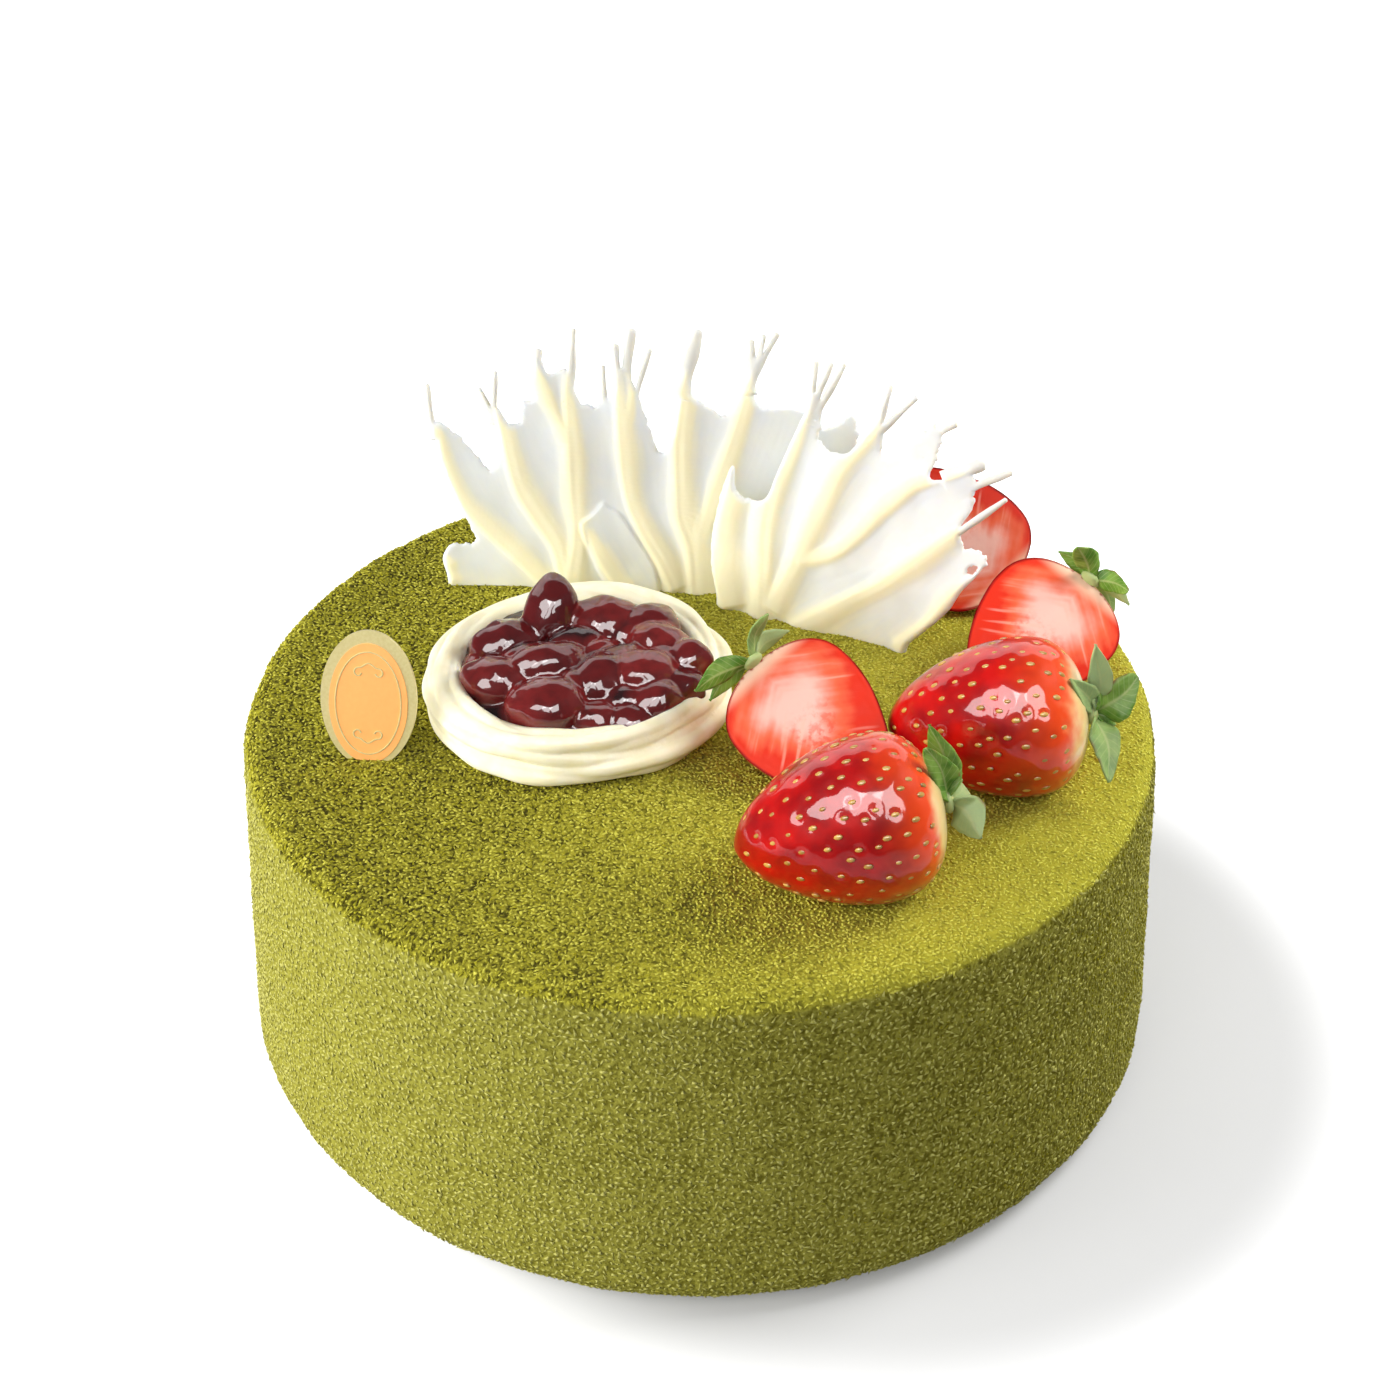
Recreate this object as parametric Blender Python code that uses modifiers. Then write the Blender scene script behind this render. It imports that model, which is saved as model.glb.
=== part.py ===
# A round matcha gateau under a coat of green crumb. On its top stand two fans of white
# chocolate, a piped nest filled with sweet red beans, five strawberries and an oval card tag.
# Metres, +Z up. The origin is the middle of the underside.

import math
import random

import bmesh
import bpy
from mathutils import Matrix, Vector, noise

MM = 0.001
GAP = 0.35 * MM
MERGE = 0.01 * MM
FINE_MERGE = 0.002 * MM

# Cake
TOP_RADIUS = 78.4 * MM
BASE_RADIUS = 81.4 * MM
CAKE_HEIGHT = 63 * MM
TOP_ROUNDING = 3.5 * MM
BASE_ROUNDING = 6 * MM
CRUMB_RELIEF = 0.35 * MM
CRUMB_LUMP = 7 * MM
FLAT_TOP_SHARE = 0.62
SIDE_RING_SHARES = (0.35, 0.7)
RELIEF_FROM_SHARE = 0.97
CAKE_STEPS = 60

# Nest. Each strand: outward shift, height, wave and phase of its waves, in millimetres and radians
NEST_CENTRE = (-21 * MM, 0.5 * MM)
NEST_RADIUS = 23.2 * MM
RING_HEIGHT = 5 * MM
RING_SHOULDER = 2.6 * MM
STRAND = 3.9 * MM
STRAND_STEPS = 26
STRANDS = [
    (0.6, 2.4, 0.5, 0), (0.35, 4.0, 0.7, 2), (-0.05, 5.6, 0.6, 4), (0.1, 6.3, 0.8, 1), (-0.3, 3.9, 0.4, 3),
]

# Beans, laid in rings. Each ring: radius, count and height of the beans' middles, in millimetres
BEAN_SIZE = (11 * MM, 7.6 * MM, 7 * MM)
BEAN_RINGS = [(0, 1, 11.2), (7.6, 6, 10.2), (14.6, 11, 8.2)]
HEAP_RADIUS = 19.2 * MM
HEAP_RISE = 10 * MM
HEAP_WALL = 2.5 * MM
HEAP_STEPS = 24

# Chocolate fans
SHEET = 0.9 * MM
RIDGE = 2.7 * MM
SPIKE = 1.3 * MM
FAN_DEPTH = 4 * MM
SLOT_RISE = 3 * MM
RIDGE_POINTS = 6
RIDGE_TAPER = 0.55
RIDGE_FORWARD = 0.2
RIDGE_FOOT = 3

# Tag
TAG_WIDTH = 16.4 * MM
TAG_HEIGHT = 23.5 * MM
TAG_THICKNESS = 0.8 * MM
TAG_SUNK = 1.6 * MM
TAG_CENTRE = (-55.6 * MM, -16.4 * MM)
TAG_YAW = -8
TAG_LEAN = 20
TAG_STEPS = 32

# Berries
BERRY_LENGTH = 32.2 * MM
BERRY_RADIUS = 12.9 * MM
WIDEST = 0.35
NEAR_POWERS = (2.8, 0.5)
FAR_POWERS = (1.7, 0.62)
BERRY_RINGS = 11
BERRY_SIDES = 20
SUNK = 1.3 * MM
SEED = (1.9 * MM, 1.2 * MM, 0.9 * MM)
SEED_COUNT = 25
SEED_SHARES = (0.12, 0.88)
SEED_CLEAR = 1.5 * MM
SEED_SINK = 0.99
SLOPE_STEP = 0.01

# Leaves
LEAF_THICKNESS = 0.5 * MM
LEAF_ROOT = 0.8 * MM
LEAF_FOLD = 0.3
LEAF_WAVE = 0.4 * MM
LEAF_WAVES = 0.7
LEAF_SHIFT = 0.23 * MM
LEAF_OUTLINE = (0.4, 1, 0.85, 0.16)
HUB = 2 * MM
HUB_FLATNESS = 0.5

# Each fan stands in its own leaning plane. Its places are millimetres across and up in that plane,
# from the middle of its foot. A ridge is a curve from foot to tip, drawn towards a middle point.
LEFT_FAN = {
    "name": "fan_left",
    "foot": (-20 * MM, 36 * MM),
    "yaw": -3,
    "lean": 12,
    "torn_edge": [
        (-26.6, -4), (-26.6, 1.2), (-27.8, 4.9), (-24.2, 7.8), (-20.9, 7.5), (-24.5, 16),
        (-27.5, 23.5), (-28.6, 32), (-24.4, 28.9), (-20.7, 24.6), (-17.8, 21.3), (-16.6, 27.6),
        (-17.2, 35), (-14.9, 30.6),
        (-12.5, 31.2), (-12.5, 35.1), (-9.9, 35.8), (-10.2, 41.9), (-8.9, 43.7), (-7.9, 40.3),
        (-6.1, 40.5), (-4.2, 42), (-2.2, 35.2), (0.3, 34), (3.7, 36.3), (5.1, 43), (8.2, 38.3),
        (9.6, 33.7), (10.9, 30.1), (12.7, 25), (15.2, 31.4), (16.5, 43), (18.2, 36.7), (21.8, 34.4),
        (24.5, 33), (28.3, 43), (29.5, 35.1), (37.3, 35.5), (41.4, 31.6), (44.4, 31.8), (46.4, 34.8),
        (48.3, 32.3), (47.5, 22), (43, 10), (36, 1.2), (36, -4),
    ],
    "ridges": [
        ((-8, 0), (-25, 8), (-28.6, 32)),
        ((-5, 0), (-12.5, 14.5), (-17.2, 35)),
        ((-3, 0), (-2.8, 18), (-3.8, 42)),
        ((6, 0), (0, 5), (-2, 12.3)),
        ((13.5, 0), (6, 14), (5.1, 42.4)),
        ((18.5, 0), (13.4, 22), (17, 43)),
        ((19, 5), (22.8, 20), (29.5, 44)),
    ],
    "spikes": [
        ((-28.6, 31), (-29.2, 37.5)), ((-17.2, 34), (-17.1, 40.5)), ((-17.4, 31), (-20.2, 37.2)),
        ((-3.8, 41), (-3.2, 48.6)), ((2.2, 34), (2.3, 42)), ((5, 41), (4.7, 45.9)),
        ((6.2, 40), (7.6, 48.6)), ((8.2, 37), (10.7, 45.3)), ((17, 42), (19, 48.8)),
        ((28.6, 42), (28.4, 47.3)), ((29.5, 43), (30.8, 48.3)), ((29.7, 43), (33.4, 48.6)),
        ((-9.6, 41), (-9, 44.6)),
    ],
}
RIGHT_FAN = {
    "name": "fan_right",
    "foot": (18 * MM, 23.7 * MM),
    "yaw": -25,
    "lean": 15,
    "torn_edge": [
        (-16.4, -4), (-16.4, 1.2), (-18.4, 6.3), (-19, 12), (-18.1, 21), (-16.4, 27.5),
        (-15.4, 20.9), (-9.3, 20.8), (-7.6, 28), (-5.4, 35), (-2.3, 44), (-0.8, 38), (-1.2, 34.7),
        (0.4, 32.8), (4.6, 32.8),
        (6.7, 36), (9, 41.5), (10.8, 40), (10.5, 34), (12.5, 33.9), (15.8, 38.1), (20, 41.3),
        (21.5, 40.3), (21, 36.5), (19.7, 31.6), (23.6, 32.6), (26.5, 35.5), (28.4, 33.4), (28.7, 28.3),
        (26.7, 24.7), (27.9, 20.8), (30.7, 21.1), (33.1, 20.1), (30.7, 15.9), (28.7, 13),
        (27.3, 9.1), (22.5, 3.3), (20.6, 1.2), (20.6, -4),
    ],
    "ridges": [
        ((-15, 0), (-21.5, 12), (-16.6, 27)),
        ((-7.5, 0), (-10.5, 20), (-2.4, 43.6)),
        ((-2.5, 0), (0, 20), (9.3, 40.8)),
        ((1.5, 12), (11, 22), (26, 34.5)),
        ((-0.5, 1), (12, 9), (26.2, 22.5)),
        ((17, 0.5), (24, 4), (28.4, 12.6)),
    ],
    "spikes": [
        ((-2.8, 42), (-3.2, 48)), ((-2, 43), (-0.6, 48.2)), ((-1.5, 42), (1.6, 48.6)),
        ((9.2, 40), (10.6, 46.6)), ((9.6, 39), (15.6, 45.4)), ((20.2, 40), (23.4, 42.2)),
        ((25.6, 34), (29.3, 36.4)), ((27.6, 32), (34.3, 36.2)), ((26, 22.6), (34, 31.5)),
        ((18.6, 39), (19.2, 41.8)),
    ],
}

# Each berry: the middle of its body above the cake's top, the heading and dip of the line from
# tip to stalk, the turn about that line, and whether it is cut in half along it. Its leaves
# are given by turn about the line, length, width, slant away from the berry and twist.
BERRIES = [
    {
        "name": "berry_front", "at": (21.5, -48.9), "heading": 8, "dip": -10, "turn": 0,
        "half": False, "scale": 1.03,
        "leaves": [
            (104, 12.5, 4.5, -3, 60), (72, 12, 4.5, 3, 70), (15, 8, 4, 12, 0), (-42, 7, 5, 20, 0),
            (-110, 7, 5.5, 25, 0),
        ],
    },
    {
        "name": "berry_right", "at": (47, -20.8), "heading": -8, "dip": -10, "turn": 0,
        "half": False, "scale": 1.02,
        "leaves": [
            (75, 14, 4.5, 0, 70), (112, 9, 4, -3, 40), (25, 8, 4, 10, 0), (-175, 9.5, 7, 35, 0),
            (-60, 8, 5, 30, 0), (-122, 13, 6, 10, -65),
        ],
    },
    {
        "name": "berry_half_front", "at": (19.2, -21.2), "heading": 137, "dip": -24, "turn": 60,
        "half": True, "scale": 0.94,
        "leaves": [
            (-64, 12.5, 4.5, 8, 0), (-95, 10, 4, 4, 0), (44, 9, 2.6, 20, 0), (100, 8, 4, 6, 0),
        ],
    },
    {
        "name": "berry_half_right", "at": (57.5, 5), "heading": 43, "dip": -22, "turn": 117,
        "half": True, "scale": 0.93,
        "leaves": [
            (-27, 11, 6, -4, 0), (55, 9, 4.5, 8, 0), (-84, 9, 3.5, 3, 0), (137, 11.5, 3.5, 12, 0),
            (99, 8, 2.4, 16, 0),
        ],
    },
    {
        "name": "berry_half_back", "at": (45.5, 35), "heading": -36, "dip": 31, "turn": 132,
        "half": True, "scale": 0.9,
        "leaves": [(-60, 6, 4, 20, 0), (-110, 6, 4, 16, 0), (50, 5, 4, 25, 0), (-170, 5, 4, 20, 0)],
    },
]


def clear_scene():
    for obj in list(bpy.data.objects):
        bpy.data.objects.remove(obj, do_unlink=True)


def new_collection(name, hidden=False):
    collection = bpy.data.collections.new(name)
    bpy.context.scene.collection.children.link(collection)
    collection.hide_render = hidden
    return collection


def new_material(name, colour, roughness, metallic=0.0):
    material = bpy.data.materials.new(name)
    material.use_nodes = True
    shader = material.node_tree.nodes["Principled BSDF"]
    shader.inputs["Base Color"].default_value = (*colour, 1)
    shader.inputs["Roughness"].default_value = roughness
    shader.inputs["Metallic"].default_value = metallic
    return material


def new_object(name, data, collection, material=None):
    obj = bpy.data.objects.new(name, data)
    collection.objects.link(obj)
    if material:
        data.materials.append(material)
    return obj


def object_from_bmesh(name, mesh_data, collection, material=None):
    mesh = bpy.data.meshes.new(name)
    mesh_data.to_mesh(mesh)
    mesh_data.free()
    return new_object(name, mesh, collection, material)


def made_mesh(obj, collection, merge=MERGE):
    """Turns an object with its modifiers into a plain mesh object and drops the old one."""
    bpy.context.view_layer.update()
    graph = bpy.context.evaluated_depsgraph_get()
    mesh = bpy.data.meshes.new_from_object(obj.evaluated_get(graph))
    work = bmesh.new()
    work.from_mesh(mesh)
    bmesh.ops.remove_doubles(work, verts=work.verts, dist=merge)
    bmesh.ops.recalc_face_normals(work, faces=work.faces)
    work.to_mesh(mesh)
    work.free()
    name = obj.name
    place = obj.matrix_world.copy()
    bpy.data.objects.remove(obj, do_unlink=True)
    fresh = new_object(name, mesh, collection)
    fresh.matrix_world = place
    return fresh


def join(base, collection, parts, operation, solver="EXACT"):
    """Unites or cuts base with every object of a collection, applies it and empties the collection."""
    modifier = base.modifiers.new("join", "BOOLEAN")
    modifier.operation = operation
    modifier.operand_type = "COLLECTION"
    modifier.collection = parts
    modifier.solver = solver
    joined = made_mesh(base, collection, FINE_MERGE)
    for obj in list(parts.objects):
        bpy.data.objects.remove(obj, do_unlink=True)
    bpy.data.collections.remove(parts)
    return joined


def finish(obj, material, smooth_angle=40):
    obj.data.materials.clear()
    obj.data.materials.append(material)
    obj.data.shade_smooth()
    obj.data.set_sharp_from_angle(angle=math.radians(smooth_angle))


def bent(points, count):
    """Points along the curve from the first point to the third, drawn towards the second."""
    first, middle, last = (Vector(p) for p in points)
    steps = [i / (count - 1) for i in range(count)]
    return [first * (1 - t) ** 2 + middle * 2 * t * (1 - t) + last * t * t for t in steps]


def tube(name, points, radii, collection, sides=1, closed=False):
    data = bpy.data.curves.new(name, "CURVE")
    data.dimensions = "3D"
    data.bevel_depth = 1
    data.bevel_resolution = sides
    data.use_fill_caps = True
    spline = data.splines.new("POLY")
    spline.points.add(len(points) - 1)
    spline.use_cyclic_u = closed
    for target, point, radius in zip(spline.points, points, radii):
        target.co = (*point, 1)
        target.radius = radius
    return made_mesh(new_object(name, data, collection), collection)


def arc(centre, radius, start, end, count):
    angles = [math.radians(start + (end - start) * i / (count - 1)) for i in range(count)]
    return [(centre[0] + radius * math.cos(a), centre[1] + radius * math.sin(a)) for a in angles]


def slab(name, outline, thickness, collection):
    """A flat outline in its own plane, as thick as stated."""
    data = bpy.data.curves.new(name, "CURVE")
    data.dimensions = "2D"
    data.fill_mode = "BOTH"
    data.extrude = thickness / 2
    spline = data.splines.new("POLY")
    spline.points.add(len(outline) - 1)
    spline.use_cyclic_u = True
    for target, (across, up) in zip(spline.points, outline):
        target.co = (across, up, 0, 1)
    return made_mesh(new_object(name, data, collection), collection)


def fan_place(fan):
    """From across, up and forward in the fan's plane to the cake."""
    yaw = math.radians(fan["yaw"])
    lean = math.radians(fan["lean"])
    across = Vector((math.cos(yaw), math.sin(yaw), 0))
    back = Vector((-math.sin(yaw), math.cos(yaw), 0))
    up = Vector((0, 0, math.cos(lean))) + back * math.sin(lean)
    forward = across.cross(up)
    place = Matrix((across, up, forward)).transposed().to_4x4()
    place.translation = Vector((*fan["foot"], CAKE_HEIGHT))
    return place


def make_fan(fan, collection, cutters, material):
    pieces = new_collection(fan["name"] + "_pieces")
    sheet = slab(fan["name"], [(a * MM, b * MM) for a, b in fan["torn_edge"]], SHEET, collection)
    for foot, middle, tip in fan["ridges"]:
        foot = (foot[0], max(foot[1], RIDGE_FOOT))
        forward = SHEET * RIDGE_FORWARD
        line = [Vector((p.x * MM, p.y * MM, forward)) for p in bent((foot, middle, tip), RIDGE_POINTS)]
        shares = [i / (RIDGE_POINTS - 1) for i in range(RIDGE_POINTS)]
        tube("ridge", line, [RIDGE / 2 * (1 - RIDGE_TAPER * share ** 2) for share in shares], pieces)
    for foot, tip in fan["spikes"]:
        start = Vector((foot[0] * MM, foot[1] * MM, 0))
        end = Vector((tip[0] * MM, tip[1] * MM, 0))
        tube("spike", [start, start.lerp(end, 0.5), end], [SPIKE * 0.5, SPIKE * 0.4, SPIKE * 0.25], pieces, 0)
    body = join(sheet, collection, pieces, "UNION", "MANIFOLD")
    body.data.transform(fan_place(fan))
    finish(body, material)
    foot_places = [across for across, up in fan["torn_edge"] if up < 0]
    left = min(foot_places) * MM - 2 * GAP
    right = max(foot_places) * MM + 2 * GAP
    slot = [(left, -FAN_DEPTH - GAP), (right, -FAN_DEPTH - GAP), (right, SLOT_RISE), (left, SLOT_RISE)]
    cutter = slab("slot", slot, SHEET + 2 * GAP, cutters)
    cutter.data.transform(fan_place(fan))
    return body


def make_nest(collection, material):
    """A low ring with wound strands of chocolate cream around and on it."""
    pieces = new_collection("nest_pieces")
    low = CAKE_HEIGHT + GAP
    work = bmesh.new()
    inner, outer = NEST_RADIUS - 0.5 * STRAND, NEST_RADIUS + 0.55 * STRAND
    profile = [(outer, low + RING_SHOULDER), (outer + GAP, low), (inner, low), (inner, low + RING_HEIGHT)]
    points = [work.verts.new((r, 0, z)) for r, z in profile]
    for a, b in zip(points, points[1:] + points[:1]):
        work.edges.new((a, b))
    ring = object_from_bmesh("nest", work, collection)
    turn = ring.modifiers.new("turn", "SCREW")
    turn.steps = STRAND_STEPS
    turn.render_steps = STRAND_STEPS
    turn.use_merge_vertices = True
    turn.merge_threshold = MERGE
    ring = made_mesh(ring, collection)
    for shift, height, wave, phase in STRANDS:
        line = []
        for i in range(STRAND_STEPS):
            turn_angle = 2 * math.pi * i / STRAND_STEPS
            radius = NEST_RADIUS + shift * MM + 0.5 * wave * MM * math.sin(3 * turn_angle + phase)
            level = low + height * MM + wave * MM * math.sin(2 * turn_angle + 2 * phase)
            line.append((radius * math.cos(turn_angle), radius * math.sin(turn_angle), level))
        tube("strand", line, [STRAND * 0.5] * STRAND_STEPS, pieces, closed=True)
    nest = join(ring, collection, pieces, "UNION")
    nest.data.transform(Matrix.Translation((*NEST_CENTRE, 0)))
    finish(nest, material, 60)
    return nest


def make_beans(collection, material):
    """A domed core with the beans that show fused on."""
    chance = random.Random(7)
    pieces = new_collection("bean_pieces")
    low = CAKE_HEIGHT + GAP
    work = bmesh.new()
    dome = arc((0, 0), 1, 90, 12, 5)
    profile = [(HEAP_RADIUS * x, low + HEAP_WALL + (HEAP_RISE - HEAP_WALL) * y) for x, y in dome]
    profile[0] = (0, profile[0][1])
    profile += [(HEAP_RADIUS, low), (0, low)]
    points = [work.verts.new((r, 0, z)) for r, z in profile]
    for a, b in zip(points, points[1:]):
        work.edges.new((a, b))
    core = object_from_bmesh("beans", work, collection)
    turn = core.modifiers.new("turn", "SCREW")
    turn.steps = HEAP_STEPS
    turn.render_steps = HEAP_STEPS
    turn.use_merge_vertices = True
    turn.merge_threshold = MERGE
    core = made_mesh(core, collection)
    for radius, count, height in BEAN_RINGS:
        for i in range(count):
            angle = 2 * math.pi * (i + chance.uniform(-0.15, 0.15)) / count + radius
            work = bmesh.new()
            bmesh.ops.create_uvsphere(work, u_segments=6, v_segments=5, radius=0.5)
            bmesh.ops.rotate(work, verts=work.verts, matrix=Matrix.Rotation(math.pi / 2, 3, "Y"))
            size = [side * chance.uniform(0.88, 1.06) for side in BEAN_SIZE]
            bean = object_from_bmesh("bean", work, pieces)
            heading = angle + math.pi / 2 + chance.uniform(-0.5, 0.5)
            tilt = Matrix.Rotation(chance.uniform(-0.35, 0.35), 4, "Y")
            lift = height * MM + chance.uniform(-0.6, 0.8) * MM
            across, along = radius * MM * math.cos(angle), radius * MM * math.sin(angle)
            place = Matrix.Translation((across, along, low + lift)) @ Matrix.Rotation(heading, 4, "Z")
            bean.data.transform(place @ tilt @ Matrix.Diagonal((*size, 1)))
    heap = join(core, collection, pieces, "UNION")
    heap.data.transform(Matrix.Translation((*NEST_CENTRE, 0)))
    finish(heap, material, 50)
    return heap


def berry_outline(share):
    """The radius at a share of the way from stalk to tip, as a part of the largest radius."""
    if share < WIDEST:
        inner, outer = NEAR_POWERS
        return (1 - ((WIDEST - share) / WIDEST) ** inner) ** outer
    inner, outer = FAR_POWERS
    return (1 - ((share - WIDEST) / (1 - WIDEST)) ** inner) ** outer


def berry_shares():
    """Ring places, closer together towards both ends."""
    return [0.5 - 0.5 * math.cos(math.pi * i / (BERRY_RINGS - 1)) for i in range(BERRY_RINGS)]


def berry_body(name, grown, collection, half):
    """A berry along X, its stalk at +X. A half keeps the side behind its cut, which faces +Y."""
    work = bmesh.new()
    rings = []
    for share in berry_shares():
        radius = BERRY_RADIUS * berry_outline(share) + (grown if 0 < share < 1 else 0)
        rings.append(((0.5 - share) * (BERRY_LENGTH + 2 * grown), radius))
    points = [work.verts.new((x, 0, r)) for x, r in rings]
    for a, b in zip(points, points[1:]):
        work.edges.new((a, b))
    body = object_from_bmesh(name, work, collection)
    turn = body.modifiers.new("turn", "SCREW")
    turn.axis = "X"
    turn.steps = BERRY_SIDES
    turn.render_steps = BERRY_SIDES
    turn.use_merge_vertices = True
    turn.merge_threshold = MERGE
    body = made_mesh(body, collection)
    if half:
        work = bmesh.new()
        work.from_mesh(body.data)
        cut = bmesh.ops.bisect_plane(
            work, geom=work.verts[:] + work.edges[:] + work.faces[:], plane_co=(0, grown, 0),
            plane_no=(0, 1, 0), clear_outer=True, dist=MERGE,
        )
        rim = [edge for edge in cut["geom_cut"] if isinstance(edge, bmesh.types.BMEdge)]
        bmesh.ops.triangle_fill(work, edges=rim, use_beauty=True)
        bmesh.ops.recalc_face_normals(work, faces=work.faces)
        work.to_mesh(body.data)
        work.free()
    return body


def add_seeds(body, place, half):
    """Small seeds half sunk in the skin in a spiral, away from the cut, the ends and the cake."""
    pieces = new_collection("seed_pieces")
    golden = math.pi * (3 - math.sqrt(5))
    first, last = SEED_SHARES
    for i in range(SEED_COUNT):
        share = first + (last - first) * (i + 0.5) / SEED_COUNT
        angle = i * golden
        radius = BERRY_RADIUS * berry_outline(share)
        spot = Vector(((0.5 - share) * BERRY_LENGTH, radius * math.cos(angle), radius * math.sin(angle)))
        if half and spot.y > -2 * SEED_CLEAR:
            continue
        if (place @ spot).z < CAKE_HEIGHT + SEED_CLEAR:
            continue
        growth = berry_outline(share + SLOPE_STEP) - berry_outline(share - SLOPE_STEP)
        slope = growth * BERRY_RADIUS / (2 * SLOPE_STEP * BERRY_LENGTH)
        normal = Vector((slope, math.cos(angle), math.sin(angle))).normalized()
        along = Vector((1, -slope * math.cos(angle), -slope * math.sin(angle))).normalized()
        frame = Matrix((along, normal.cross(along), normal)).transposed().to_4x4()
        frame.translation = spot * SEED_SINK
        work = bmesh.new()
        bmesh.ops.create_uvsphere(work, u_segments=4, v_segments=2, radius=0.5)
        seed = object_from_bmesh("seed", work, pieces)
        seed.data.transform(frame @ Matrix.Diagonal((*SEED, 1)))
    return join(body, body.users_collection[0], pieces, "UNION", "MANIFOLD")


def berry_turn(berry):
    heading = Matrix.Rotation(math.radians(berry["heading"]), 4, "Z")
    dip = Matrix.Rotation(math.radians(berry["dip"]), 4, "Y")
    about = Matrix.Rotation(math.radians(berry["turn"]), 4, "X")
    return heading @ dip @ about @ Matrix.Scale(berry["scale"], 4)


def berry_place(berry, body):
    """Sets the berry a little into the cake's top."""
    turn = berry_turn(berry)
    lowest = min((turn @ vertex.co).z for vertex in body.data.vertices)
    across, along = berry["at"]
    return Matrix.Translation((across * MM, along * MM, CAKE_HEIGHT - SUNK - lowest)) @ turn


def leaf(collection, turn, length, width, slant, twist, shift):
    """A pointed leaf folded a little along its middle, from the hub outwards."""
    work = bmesh.new()
    bmesh.ops.create_grid(work, x_segments=3, y_segments=2, size=1)
    for vertex in work.verts:
        along = (vertex.co.x + 1) / 2
        side = vertex.co.y * width * MM / 2 * LEAF_OUTLINE[round(along * 3)]
        fold = LEAF_FOLD * abs(side)
        wave = LEAF_WAVE * math.sin(2 * math.pi * LEAF_WAVES * along)
        curled = math.radians(twist) * along
        out = fold * math.cos(curled) + side * math.sin(curled) + wave + shift
        side = side * math.cos(curled) - fold * math.sin(curled)
        vertex.co = Vector((out, LEAF_ROOT + along * length * MM, side))
    bmesh.ops.triangulate(work, faces=work.faces)
    piece = object_from_bmesh("leaf", work, collection)
    wall = piece.modifiers.new("wall", "SOLIDIFY")
    wall.thickness = LEAF_THICKNESS
    wall.offset = 0
    piece = made_mesh(piece, collection)
    around = Matrix.Rotation(math.radians(turn), 4, "X")
    piece.data.transform(around @ Matrix.Rotation(math.radians(-slant), 4, "Z"))
    return piece


def make_berry(berry, collection, cutters, flesh, green):
    body = berry_body(berry["name"], 0, collection, berry["half"])
    place = berry_place(berry, body)
    cutter = berry_body("hollow", GAP, cutters, berry["half"])
    cutter.data.transform(place)
    body = add_seeds(body, place, berry["half"])
    body.data.transform(place)
    finish(body, flesh)
    pieces = new_collection("leaf_pieces")
    work = bmesh.new()
    bmesh.ops.create_uvsphere(work, u_segments=8, v_segments=5, radius=HUB)
    bmesh.ops.scale(work, verts=work.verts, vec=(1, 1, HUB_FLATNESS))
    bmesh.ops.rotate(work, verts=work.verts, cent=(0, 0, 0), matrix=Matrix.Rotation(math.pi / 2, 3, "Y"))
    hub = object_from_bmesh(berry["name"] + "_leaves", work, collection)
    for i, (turn, length, width, slant, twist) in enumerate(berry["leaves"]):
        leaf(pieces, turn, length, width, slant, twist, (i % 3 - 1) * LEAF_SHIFT)
    crown = join(hub, collection, pieces, "UNION")
    outwards = Matrix.Translation((BERRY_LENGTH / 2 + GAP + HUB_FLATNESS * HUB, 0, 0))
    crown.data.transform(place @ outwards)
    finish(crown, green)


def make_tag(collection, cutters, material):
    half_width, half_height = TAG_WIDTH / 2, TAG_HEIGHT / 2
    last_angle = 360 * (1 - 1 / TAG_STEPS)
    oval = [(half_width * x, half_height * y) for x, y in arc((0, 0), 1, 0, last_angle, TAG_STEPS)]
    lean = Matrix.Rotation(math.radians(90 - TAG_LEAN), 4, "X")
    turn = Matrix.Rotation(math.radians(TAG_YAW), 4, "Z")
    rise = Matrix.Translation((0, half_height - TAG_SUNK, 0))
    place = Matrix.Translation((*TAG_CENTRE, CAKE_HEIGHT)) @ turn @ lean @ rise
    tag = slab("tag", oval, TAG_THICKNESS, collection)
    tag.data.transform(place)
    finish(tag, material)
    grown = [(x * (1 + GAP / half_width), y * (1 + GAP / half_height)) for x, y in oval]
    cutter = slab("tag_slot", grown, TAG_THICKNESS + 2 * GAP, cutters)
    cutter.data.transform(place)


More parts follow.
